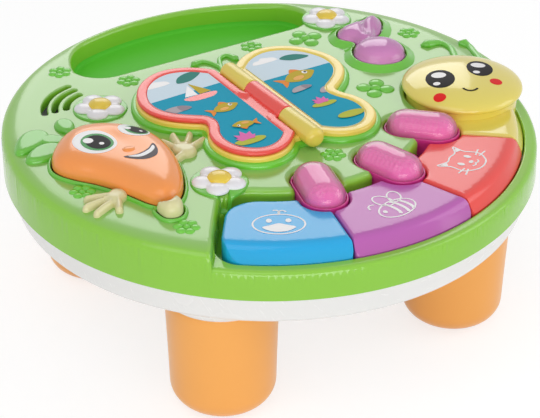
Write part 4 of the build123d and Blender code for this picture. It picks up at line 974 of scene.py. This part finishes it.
keyArt = (("duckPrint", duckArt, "blue_key"), ("beePrint", beeArt, "lilac_key"), ("catPrint", catArt, "red_key"))
for (name, art, body), bearing in zip(keyArt, keyBearings):
    spot = polar(artRadius, bearing)
    drawn(name, placed(art, spot, bearing, artSize), 1.15, keyTop, inkWhite, body)
    fills = [path for path, closed in placed([(f, True) for f in keyFills[name]], spot, bearing, artSize)]
    printed(name + "Fill", fills, keyTop, inkWhite, body, 0.2)
bands = [(ovalPath(u, -1.6, 2.2, v, 12, -80, 80, 14), False) for u, v in ((-3.5, 6.4), (1.0, 7.0), (5.2, 5.8))]
drawn("beeBands", placed(bands, polar(artRadius, keyBearings[1]), keyBearings[1], artSize), 2.2, keyTop, inkWhite,
      "lilac_key")
print("key prints made")


# Light pills: a clear skin over a quilted lamp cover, then the bezels.
def pillLoop(bearing, more=0):
    return stadiumLoop(*polar(pill["at"], bearing), pill["length"] + more, pill["width"] + more, bearing - 90)


for side, bearing in zip(("Left", "Middle", "Right"), pillBearings):
    body = side.lower() + "_pill"
    outline = pillLoop(bearing)
    seat(relief("pill" + side, outline, lambda px, py, d: dome(d, deckZ - 1.6, deckZ + pill["top"], 13.0, 2.1),
                pillShell, low=deckZ - 9, insets=(0.15, 0.4, 0.8, 1.4, 2.2, 3.2, 4.6, 6.4, 8.6), spacing=3.2),
         body, "pill_" + side.lower())

    def lattice(px, py, d):
        x, y = polar(pill["at"], bearing)
        s, c = math.sin(math.radians(bearing - 90)), math.cos(math.radians(bearing - 90))
        u = (px - x) * c + (py - y) * s
        v = (py - y) * c - (px - x) * s
        waves = np.cos((u + v) * math.pi / 3.7) * np.cos((u - v) * math.pi / 3.7)
        return dome(d, deckZ - 4.0, deckZ + pill["top"] - 2.2, 11, 2.0) + 1.0 * waves * np.clip(d / 3, 0, 1)

    seat(relief("pill" + side + "Core", shifted(outline, 2.0), lattice, pillHeart, low=deckZ - 12,
                insets=(0.3, 0.8, 1.6, 2.6), spacing=1.05), body)
for n, bearing in enumerate(pillBearings):
    seat(relief("pillBezel%d" % (n + 1), pillLoop(bearing, 3.2), lambda x, y, d: roundOver(d, deckZ - 2.4, 0.6),
                bezelPink, low=table["pocketZ"], holes=[pillLoop(bearing, 0.5)], insets=(0.2, 0.45), spacing=40),
         "table", "pill_bezel" if n == 0 else None)
print("light pills made")


# Smiling head and its neck.
rim, headTop, tableCurve = deckZ + head["edge"], deckZ + head["top"], 178.3


def headHeight(x, y):
    r = np.hypot(x - head["x"], y - head["y"])
    return deckZ + head["edge"] + (head["top"] - head["edge"]) * np.sqrt(np.maximum(1 - (r / head["r"]) ** 2.3, 0))


line = [(0, deckZ - head["low"]), (38.0, deckZ - head["low"]), (head["skirt"], deckZ - 17.4),
        (head["skirt"], rim - 2.6)]
line += [(head["skirt"] + 3 * math.sin(t), rim - 2.6 * math.cos(t)) for t in np.linspace(0.3, 1.57, 7)]
line += [(head["r"] * math.sin(t) ** 0.87, rim + (head["top"] - head["edge"]) * math.cos(t))
         for t in np.linspace(1.5, 0.0, 26)]
line[-1] = (0, headTop)
face = lathe("bugHead", line, yellow, head["x"], head["y"], count=128)
for v in face.data.vertices:  # the round skirt is cut to the table's curve under the open rim
    r = math.hypot(v.co.x, v.co.y) / mm
    if v.co.z < (rim - 2.0) * mm and r > tableCurve:
        v.co.x *= tableCurve / r
        v.co.y *= tableCurve / r
seat(face, "head", "bug_head")
seat(makeKey(3, "bugNeck", yellow, deckZ - 18), "head")

up = 31.5  # the face looks towards the open side of the keyboard
s, c = math.sin(math.radians(up)), math.cos(math.radians(up))
for n, (x, y, a, b) in enumerate(((116.5, -43.7, 10.5, 13.0), (150.5, -45.6, 9.5, 13.0))):
    printed("headEye%d" % (n + 1), [ovalPath(x, y, a, b, -up)], headHeight, inkBlack, "head", 0.1)
    printed("headEyeShine%d" % (n + 1), [ovalPath(x + s * 5.2 - c * 1.0, y + c * 5.2, 5.4, 4.2, -up),
                                         ovalPath(x - s * 5.4 - c * 4.2, y - c * 5.4, 2.6, 2.2, -up)], headHeight,
            inkWhite, "head", 0.2)
cheeks = [ovalPath(x, y, 4.5, 4.3, -up) for x, y in ((102.5, -62.5), (148.5, -67.5))]
printed("headCheeks", cheeks, headHeight, inkRed, "head", 0.1)
smile = ovalPath(127.6, -64.8, 5.8, 5.2, 0, 200 - up, 335 - up, 16)
drawn("headSmile", [(smile, False)], 1.5, headHeight, inkBlack, "head", 0.2)
print("head made")


# Radish button.
radish = {"x": 115.5, "y": 31.0, "r": 19.0, "bulbTop": 12.5, "leafTop": 10.0, "low": 5.0, "foldX": 119, "foldY": 52}
radishLeaf = smoothLoop([(111, 50), (109.5, 57), (105.5, 64.5), (106.5, 71), (112, 76.5), (122, 79), (133, 81),
                         (141.5, 82.5), (145.5, 79.5), (144, 73), (138.5, 65.5), (131.5, 59.5), (124.5, 50), (118, 45)])


def radishHeight(x, y, d):
    low = deckZ + 1 + roundOver(d, radish["low"] - 1, 2.2)
    r = np.hypot(x - radish["x"], y - radish["y"]) / radish["r"]
    bulb = deckZ + radish["low"] - 1.2
    bulb = bulb + (radish["bulbTop"] - radish["low"] + 1.2) * np.sqrt(np.maximum(1 - r ** 2.4, 0))
    bulb = np.where(r < 1, bulb, deckZ)
    inLeaf = depthIn(np.column_stack([x, y]), radishLeaf)
    leaf = deckZ + radish["low"] - 1 + (radish["leafTop"] - radish["low"] + 1) * (
        1 - (1 - np.clip(inLeaf / 9.5, 0, 1)) ** 2) ** 0.5
    across = (x - radish["foldX"]) * 0.905 - (y - radish["foldY"]) * 0.425  # from the fold between the two leaves
    fold = 3.2 * np.exp(-(across / 2.4) ** 2) * np.clip((y - radish["foldY"]) / 6, 0, 1)
    return np.maximum(low, np.maximum(bulb, np.where(inLeaf > 0, leaf - fold, deckZ)))


seat(relief("radish", radishLoop, radishHeight, violet, low=deckZ - 2, insets=(0.2, 0.6, 1.1, 1.7, 2.4, 3.4),
            spacing=2.0), "radish", "radish_button")
print("radish made")


# Carrot button.
carrot = {"top": 15.0, "low": 3.4, "reach": 21.0, "power": 2.4}


def carrotTop(x, y, d=None):
    if d is None:
        d = np.maximum(depthIn(np.column_stack([x, y]), carrotLoop), 0)
    z = dome(d, deckZ + carrot["low"], deckZ + carrot["top"], carrot["reach"], carrot["power"])
    brow = np.exp(-(((x + 121.5) / 5.5) ** 2 + ((y + 1) / 13.0) ** 2)) * 1.2  # shallow dip between the eyes
    return z - brow


seat(relief("carrot", carrotLoop, carrotTop, carrotOrange, low=deckZ + 1.5,
            insets=(0.15, 0.4, 0.8, 1.4, 2.2, 3.4, 5.0, 7.0), spacing=3.0), "carrot", "carrot_button")
seat(relief("carrotTip", tipLoop, lambda x, y, d: dome(d, deckZ + 3.2, deckZ + 11.5, 7, 2.2), cream, low=deckZ + 1.5,
            insets=(0.15, 0.4, 0.9, 1.6, 2.6), spacing=2.0), "carrot", "carrot_tip")
seat(relief("carrotNose", ovalPath(-122.5, -20, 4.6, 4.0),
            lambda x, y, d: carrotTop(x, y) - 0.4 + dome(d, 0, 1.6, 4, 2), carrotOrange, low=deckZ + 10,
            insets=(0.3, 0.8, 1.5), spacing=1.4), "carrot")

eyeWhite = plastic("whiteEye", (246, 246, 246), gloss=0.3, specular=0.3)
irisGreen = plastic("greenIris", (40, 146, 60), gloss=0.3, specular=0.2)
lipDark = plastic("darkMouth", (74, 66, 70), gloss=0.4, specular=0.2)
# Each print of an eye: name, ink, height, then its ovals as shift and share of the eye's size.
eyePrints = (("Eye", eyeWhite, 0.12, ((0, 0, 1, 1),)), ("Iris", irisGreen, 0.22, ((1.2, -1.4, 0.74, 0.74),)),
             ("Pupil", inkBlack, 0.32, ((1.6, -1.8, 0.56, 0.60),)),
             ("Shine", inkWhite, 0.42, ((-3.4, 3.0, 0.24, 0.22), (2.8, -5.0, 0.12, 0.11))))
for side, x, y, a, b, turn in (("Left", -137.5, 0.5, 14.5, 16.5, 6), ("Right", -106.4, 3.4, 9.0, 12.0, 24)):
    for label, ink, lift, ovals in eyePrints:
        printed("carrot" + label + side, [ovalPath(x + dx, y + dy, a * wide, b * high, turn)
                                          for dx, dy, wide, high in ovals], carrotTop, ink, "carrot", lift)
mouth = smoothLoop([(-130, -27.5), (-121, -29.0), (-112, -26.5), (-104.5, -20.5), (-105.5, -29), (-110.5, -36.5),
                    (-118.5, -38), (-126, -33.5)], 1.0)
printed("carrotMouth", [mouth], carrotTop, lipDark, "carrot", 0.12)
teeth = smoothLoop([(-127.5, -28.6), (-119.5, -30.2), (-111.5, -27.7), (-106.2, -23.2), (-107.0, -27.5),
                    (-113, -32.2), (-121, -33.4)], 1.0)
printed("carrotTeeth", [teeth], carrotTop, eyeWhite, "carrot", 0.24)
print("carrot made")


# Little hands.
def handDepth(points, chains):
    out = np.full(len(points), -50.0)
    for (ax, ay, ar), (bx, by, br) in chains:
        dx, dy = bx - ax, by - ay
        t = np.clip(((points[:, 0] - ax) * dx + (points[:, 1] - ay) * dy) / (dx * dx + dy * dy), 0, 1)
        gap = ar + (br - ar) * t - np.hypot(points[:, 0] - ax - t * dx, points[:, 1] - ay - t * dy)
        out = smoothUnion(out, gap, 0.7)
    return out


handShapes = {
    "handLeft": [((-147, -50, 6.6), (-150, -52, 6.4)), ((-153, -48, 2.9), (-166, -44.5, 2.6)),
                 ((-153, -51.5, 2.9), (-171, -53.0, 2.6)), ((-152, -55.0, 2.9), (-168, -62.5, 2.5)),
                 ((-149, -55, 3.0), (-154, -66.5, 2.6))],
    "handRight": [((-80, -22, 7.4), (-82, -19, 6.8)), ((-84, -16, 2.9), (-88.5, -3.5, 2.6)),
                  ((-81, -14, 2.9), (-78, 0.5, 2.6)), ((-77, -16, 2.9), (-67.5, -4, 2.5)),
                  ((-76, -20, 2.9), (-63, -15, 2.4)), ((-84, -25, 3.0), (-92, -29, 2.6))],
}
for name, chains in handShapes.items():
    spots = np.array([p[:2] for pair in chains for p in pair])
    (x0, y0), (x1, y1) = spots.min(0) - 12, spots.max(0) + 12
    outline = roundedLoop(lambda p: handDepth(p, chains), x0, x1, y0, y1, 0.7)

    def handTop(x, y, d):
        inside = np.maximum(handDepth(np.column_stack([x, y]), chains), 0)
        return shellHeight(x, y) + 0.6 + 4.4 * np.sqrt(1 - (1 - np.clip(inside / 3.6, 0, 1)) ** 2)

    hand = relief(name, outline, handTop, cream, low=lambda x, y: shellHeight(x, y) - 0.5,
                  insets=(0.15, 0.4, 0.8, 1.4, 2.2), spacing=1.5)
    seat(hand, "table", "carrot_hands" if name == "handLeft" else None)
print("hands made")


# Flowers.
flower = {"pad": 19.5, "petal": 7.6, "reach": 11.0, "middle": 7.0, "low": 2.0, "edge": 1.6, "rise": 4.6,
          "eye": 8.2, "eyeTop": 7.4, "eyeLow": 3.6}
for n, (x, y) in enumerate(((-101.5, 65.5), (-80.5, -67.5), (117, 106))):
    onDeck("flowerPad%d" % (n + 1), circleLoop(x, y, flower["pad"]), 1.3, 1.2, greenLeaf, spacing=14,
           insets=(0.3, 0.7, 1.2))
    turns = [math.radians(72 * k + 90) for k in range(5)]
    spots = [(x + flower["reach"] * math.cos(t), y + flower["reach"] * math.sin(t)) for t in turns]

    def petalDepth(points):
        out = flower["middle"] - np.hypot(points[:, 0] - x, points[:, 1] - y)
        for a, b in spots:
            out = np.maximum(out, flower["petal"] - np.hypot(points[:, 0] - a, points[:, 1] - b))
        return out

    def petalTop(px, py, d):
        z = np.full(len(px), flower["low"])
        for a, b in spots:
            r = np.hypot(px - a, py - b) / flower["petal"]
            crest = (flower["rise"] - flower["edge"]) * np.sqrt(np.maximum(1 - r ** 2.2, 0))
            z = np.maximum(z, flower["edge"] + crest)
        return deckZ + z

    outline = roundedLoop(petalDepth, x - 21, x + 21, y - 21, y + 21, 0.8)
    seat(relief("flowerPetals%d" % (n + 1), outline, petalTop, petalWhite, low=deckZ + 0.9, insets=(0.2, 0.6, 1.2),
                spacing=1.7), "table", "flower_petals" if n == 0 else None)
    e, low = flower["eye"], flower["eyeLow"]
    line = [(0, deckZ + 1), (e - 0.3, deckZ + 1), (e, deckZ + low)]
    line += [(e * math.sin(t) ** 0.9, deckZ + low + (flower["eyeTop"] - low) * math.cos(t))
             for t in np.linspace(1.4, 0, 9)]
    bead = lathe("flowerEye%d" % (n + 1), line, eyeYellow, x, y, count=40)
    seat(bead, "table", "flower_centres" if n == 0 else None)
print("flowers made")


# Picture book shaped as a butterfly.
bookLoop = roundedLoop(bookDepth, -95, 90, -80, 90, 1.0)
dip = 0.85  # how far a picture lies below its frame


def frameTop(d, top, soft, inner=1.1):  # rounded bead round a sunken picture
    bead = np.minimum(roundOver(d, top, soft), top)
    step = np.clip((d - book["frame"] + inner) / inner, 0, 1)
    return bead - dip * step ** 2 * (3 - 2 * step)


seat(relief("bookBase", bookLoop, lambda x, y, d: frameTop(d, book["base"], 1.8), bookYellow, low=book["boss"] - 0.2,
            insets=(0.2, 0.6, 1.2, 1.8, 4.2, 6.8, 7.1, 7.4, 7.7, 8.0), spacing=9), "table", "book_base")


def pageDepth(points):
    half = np.minimum(depthIn(points, leftWing) - 0.8, book["x"] - 8.0 - points[:, 0])
    return np.maximum(half, boxDepth(points, book["x"] - 4.6, -3, 5.2, 22.8, 0, 0.3))


pageLoop = roundedLoop(pageDepth, -90, 5, -75, 85, 1.0)


def pageFrame(x, y, d):
    return np.maximum(frameTop(d, book["pageTop"], 1.6), book["pageTop"] - 1.6)


seat(relief("bookPage", pageLoop, pageFrame, bookRed, insets=(0.2, 0.5, 1.0, 1.6, 4.2, 6.8, 7.1, 7.4, 7.7, 8.0),
            spacing=9, under=lambda x, y, d: book["page"] + book["pageTop"] - pageFrame(x, y, d)),
     "page", "book_page")
for name, y0, y1, front, back, material, body in (
        ("spineFront", -66, -26.4, 4.5, 1.0, spineYellow, "table"),
        ("spineBack", 20.4, 57, 1.0, 4.5, spineYellow, "table"), ("spineRed", -26, 20, 1.0, 1.0, bookRed, "page")):
    seat(barY(name, y0, y1, book["spine"], book["x"], book["axis"], material, front, back), body)
print("book made")


# Pictures.
def inkOf(name, colour):
    return plastic(name, colour, gloss=0.4, tone=0.04, wear=0.1, peel=0.02, specular=0.04)


skyInk, seaInk = inkOf("skyPrint", (222, 240, 252)), inkOf("seaPrint", (0, 164, 196))
tealInk, oliveInk = inkOf("tealPrint", (52, 138, 128)), inkOf("olivePrint", (206, 180, 52))
stoneInk, shadeInk = inkOf("stonePrint", (190, 180, 186)), inkOf("shadePrint", (158, 146, 156))
pinkInk, padInk = inkOf("pinkPrint", (240, 120, 190)), inkOf("padPrint", (196, 200, 72))
warmInk, orangeInk = inkOf("warmPrint", (250, 190, 110)), inkOf("orangePrint", (246, 150, 60))


def motif(parts, x, y, size=1.0, turn=0.0):  # a small drawing put in its place
    return [(np.asarray(path, float) @ spin(turn, size) + (x, y), ink) for path, ink in parts]


fish = [(smoothLoop([(-8.5, 0), (-14.5, 5.4), (-13, 0), (-14.5, -5.4)], 0.7), orangeInk),
        (smoothLoop([(-3, 3.8), (1, 9), (4.5, 4.2)], 0.7), orangeInk),
        (smoothLoop([(-10, 0), (-5, 4.6), (2, 5.6), (8, 2.6), (10.5, 0), (8, -2.6), (2, -5.6), (-5, -4.6)], 0.7),
         oliveInk), (ovalPath(5, 1.4, 1.5, 1.6), inkWhite), (ovalPath(5.4, 1.4, 0.8, 0.9), inkBlack),
        (ovalPath(-2, -1.4, 3.6, 2.0), warmInk)]
boat = [(smoothLoop([(-12, 0), (12, 0), (8, -6), (-8, -6)], 0.8), bookRed),
        (evenLoop([(-1, 1), (-1, 17), (-11, 1.6)], 0.8), inkWhite),
        (evenLoop([(0.8, 1), (0.8, 19), (10.5, 1.6)], 0.8), oliveInk)]
stone = [(smoothLoop([(-14, -3), (-10, 4), (0, 6.6), (10, 4.6), (15, -2), (0, -4.6)], 0.9), stoneInk),
         (smoothLoop([(4, 5.4), (10, 4.6), (15, -2), (5, -3.8)], 0.9), shadeInk)]
cloud = [(smoothLoop([(-9, -2), (-8, 2.5), (-3, 3.4), (0, 6), (5, 4.6), (9.5, 2.6), (9, -2)], 0.8), inkWhite)]
leafBlade = [(smoothLoop([(-15, -1), (-9, 5.6), (2, 7.6), (12, 4.4), (17, 0), (9, -4.2), (-4, -6)], 0.9), tealInk)]


def lilyArt(x, y, size):
    parts = motif([(ovalPath(0, -1.6, 10, 3.4), padInk)], x, y, size)
    for turn, long in ((-62, 7), (-34, 9), (0, 10), (34, 9), (62, 7)):
        petal = [([(0, 0), (-2.2, long * 0.5), (0, long), (2.2, long * 0.5)], pinkInk)]
        parts += [(evenLoop(p, 0.7), ink) for p, ink in motif(petal, x, y, size, -turn)]
    return parts


def limits(loop):
    (x0, y0), (x1, y1) = np.asarray(loop).min(0) - 2, np.asarray(loop).max(0) + 2
    return x0, x1, y0, y1


def picture(name, outline, level, layers, body, node, way=1):  # print on a thin card, each motif a hair higher
    points, faces, inks, order = [], [], [], []
    for n, (loop, ink) in enumerate(layers):
        if loop is None:
            shape = outline
        elif callable(loop):
            shape = roundedLoop(lambda p: np.minimum(depthIn(p, outline), loop(p)), *limits(outline), 0.8)
        elif depthIn(loop, outline).min() > 0.05:
            shape = loop
        else:
            shape = roundedLoop(lambda p: np.minimum(depthIn(p, outline), depthIn(p, loop)), *limits(loop), 0.6)
        if len(shape) < 3:
            print(name, "motif", n, "lies outside")
            continue
        shape = counterClockwise(np.asarray(shape, float))
        xy, tris = filled(shape)
        start, z = len(points), level + way * 0.035 * n
        points += [(a, b, z) for a, b in xy]
        faces += [tuple(int(i) + start for i in (t if way > 0 else t[::-1])) for t in tris]
        if n == 0:  # edge of the card
            low = len(points)
            points += [(a, b, level - way * 0.5) for a, b in shape]
            for k in range(len(shape)):
                m = (k + 1) % len(shape)
                quad = (start + k, low + k, low + m, start + m)
                faces.append(quad if way > 0 else quad[::-1])
        if ink not in inks:
            inks.append(ink)
        order += [inks.index(ink)] * (len(faces) - len(order))
    thing = mesh(name, np.array(points), faces, inks[0], smooth=False)
    for ink in inks[1:]:
        thing.data.materials.append(ink)
    for part, index in zip(thing.data.polygons, order):
        part.material_index = index
    return seat(thing, body, node)


def pictureLoop(side, wingHere):
    return roundedLoop(lambda p: np.minimum(depthIn(p, wingHere) - book["frame"] - 0.6,
                                            side * (p[:, 0] - book["x"]) - 10.6), *limits(wingHere), 0.9)


def seaLeft(p):
    return 38 - p[:, 1] + 0.04 * (p[:, 0] + 45)


def seaRight(p):
    return 31 - p[:, 1]


leftPicture, rightPicture = pictureLoop(-1, leftWing), pictureLoop(1, rightWing)
frontLayers = [(None, skyInk), (seaLeft, seaInk)] + motif(cloud, -60, 58) + motif(leafBlade, -34, 58, 0.8, 20)
frontLayers += motif(boat, -40, 30) + motif(stone, -66, 18, 0.8) + motif(fish, -34, 4, 1.0, 8)
frontLayers += lilyArt(-44, -44, 1.25) + motif(fish, -36, -24, 0.8, 172)
backLayers = [(None, skyInk), (seaLeft, seaInk)] + motif(cloud, -50, 60, 1.1) + motif(fish, -44, 12, 1.3, -10)
backLayers += lilyArt(-40, -38, 1.2)
rightLayers = [(None, skyInk), (seaRight, seaInk)] + motif(cloud, 30, 57) + motif(leafBlade, 52, 52, 0.7, -18)
rightLayers += motif(fish, 40, 24, 1.35, 12) + motif(stone, 52, -4, 0.9) + lilyArt(32, -20, 1.0)
rightLayers += motif(stone, 30, 6, 0.6, 8) + motif([(ovalPath(0, 0, 11, 4.4), padInk)], 40, -44)
leftLayers = [(None, skyInk), (seaLeft, seaInk)] + motif(cloud, -46, 56, 1.1) + motif(boat, -44, 14, 1.2)
leftLayers += motif(fish, -38, -36, 1.1, 5)
picture("pictureFront", leftPicture, book["pageTop"] - 0.3, frontLayers, "page", "page_picture_front")
picture("pictureBack", leftPicture, book["page"] + 0.3, backLayers, "page", "page_picture_back", -1)
picture("pictureRight", rightPicture, book["base"] - 0.3, rightLayers, "table", "right_picture")
picture("pictureLeft", leftPicture, book["base"] - 0.3, leftLayers, "table", "left_picture")
print("pictures made")


# Pieces that keep their own shape.
finishes = (
    (steel, ("leg_screws", "shell_screws", "key_hinge_pins", "book_hinge_pin", "board_screws", "battery_door_screw",
             "battery_contacts")),
    (blackPlastic, ("speaker_frame", "speaker_cone", "speaker_magnet", "power_switch_body", "battery_cells")),
    (plastic("greySwitch", (96, 98, 102), gloss=0.4), ("power_switch_knob",)),
    (boardGreen, ("main_board", "button_boards")),
    (silicone, [n for n in nodes if n.startswith("dome_")]),
    (lampClear, ("leds",)),
    (whiteBase, ("battery_door",)),
)
for material, names in finishes:
    for node in names:
        for place in nodes[node].material_slots:
            place.material = material
print("inner pieces finished")


# Camera, floor and light.
def aim(thing, way):
    thing.rotation_mode = "QUATERNION"
    thing.rotation_quaternion = way.to_track_quat("-Z", "Y")


def addLamp(name, place, size, power, target=(0, 0, 0.1)):
    lamp = bpy.data.lights.new(name, "AREA")
    lamp.shape = "RECTANGLE"
    lamp.size, lamp.size_y = size
    lamp.energy = power
    thing = placeObject(name, lamp)
    thing.location = place
    aim(thing, Vector(target) - Vector(place))
    return thing


def seenRay(tree, kinds):  # one for a camera ray and for a ray of the given kinds, else zero
    path = addNode(tree, "ShaderNodeLightPath").outputs
    seen = path["Is Camera Ray"]
    for kind in kinds:
        seen = mathNode(tree, "MAXIMUM", seen, path["Is %s Ray" % kind])
    return seen


studio = {"floorTint": 0.8, "floorShade": 0.4, "floorGlow": 0.72, "worldLight": 0.52, "worldSeen": 1.0}
paleFloor = bpy.data.materials.new("paleFloor")  # nearly white to the camera and in reflections, with a faint shadow
paleFloor.use_nodes = True
tree = paleFloor.node_tree
tree.nodes.clear()
soft, faint = (addNode(tree, "ShaderNodeBsdfDiffuse", {"Color": (c, c, c, 1)}).outputs[0]
               for c in (studio["floorTint"], studio["floorShade"]))
light = addNode(tree, "ShaderNodeEmission", {"Strength": studio["floorGlow"]}).outputs[0]
both = addNode(tree, "ShaderNodeAddShader", {0: faint, 1: light}).outputs[0]
mixed = addNode(tree, "ShaderNodeMixShader", {0: seenRay(tree, ("Glossy", "Transmission")), 1: soft, 2: both})
addNode(tree, "ShaderNodeOutputMaterial", {"Surface": mixed.outputs[0]})
floorData = bpy.data.meshes.new("studioFloor")
floorData.from_pydata([(-6, -6, 0), (6, -6, 0), (6, 6, 0), (-6, 6, 0)], [], [(0, 1, 2, 3)])
floorData.materials.append(paleFloor)
studioFloor = placeObject("studioFloor", floorData)
studioFloor.location.z = -0.0005

world = bpy.data.worlds.new("studioWorld")
bpy.context.scene.world = world
world.use_nodes = True
tree = world.node_tree
lit = mathNode(tree, "MULTIPLY", seenRay(tree, ("Glossy",)), studio["worldSeen"] - studio["worldLight"])
wire(tree, tree.nodes["Background"], {
    "Color": (1, 1, 1, 1), "Strength": mathNode(tree, "ADD", studio["worldLight"], lit)})
addLamp("keySoftbox", (-0.9, -0.5, 1.5), (1.2, 1.2), 5.0)
addLamp("fillSoftbox", (1.4, -0.9, 0.9), (1.0, 1.0), 5.5)
addLamp("lowSoftbox", (-0.7, -1.5, 0.35), (1.4, 0.5), 7.5)
sheen = addLamp("sheenPanel", (0.92, 1.80, 1.25), (1.2, 1.0), 8.5)  # white card mirrored in the glossy tops
sheen.visible_diffuse = False

cameraData = bpy.data.cameras.new("photoCamera")
cameraData.sensor_width = 36
cameraData.lens = 114.25
camera = placeObject("photoCamera", cameraData)
camera.location = (-0.5612, -0.9158, 0.7250)
pitch, wayX, wayY = math.radians(31.4955), 0.5225, 0.8526
aim(camera, Vector((wayX * math.cos(pitch), wayY * math.cos(pitch), -math.sin(pitch))))
bpy.context.scene.camera = camera
bpy.context.scene.view_settings.view_transform = "Standard"

print("scene ready")
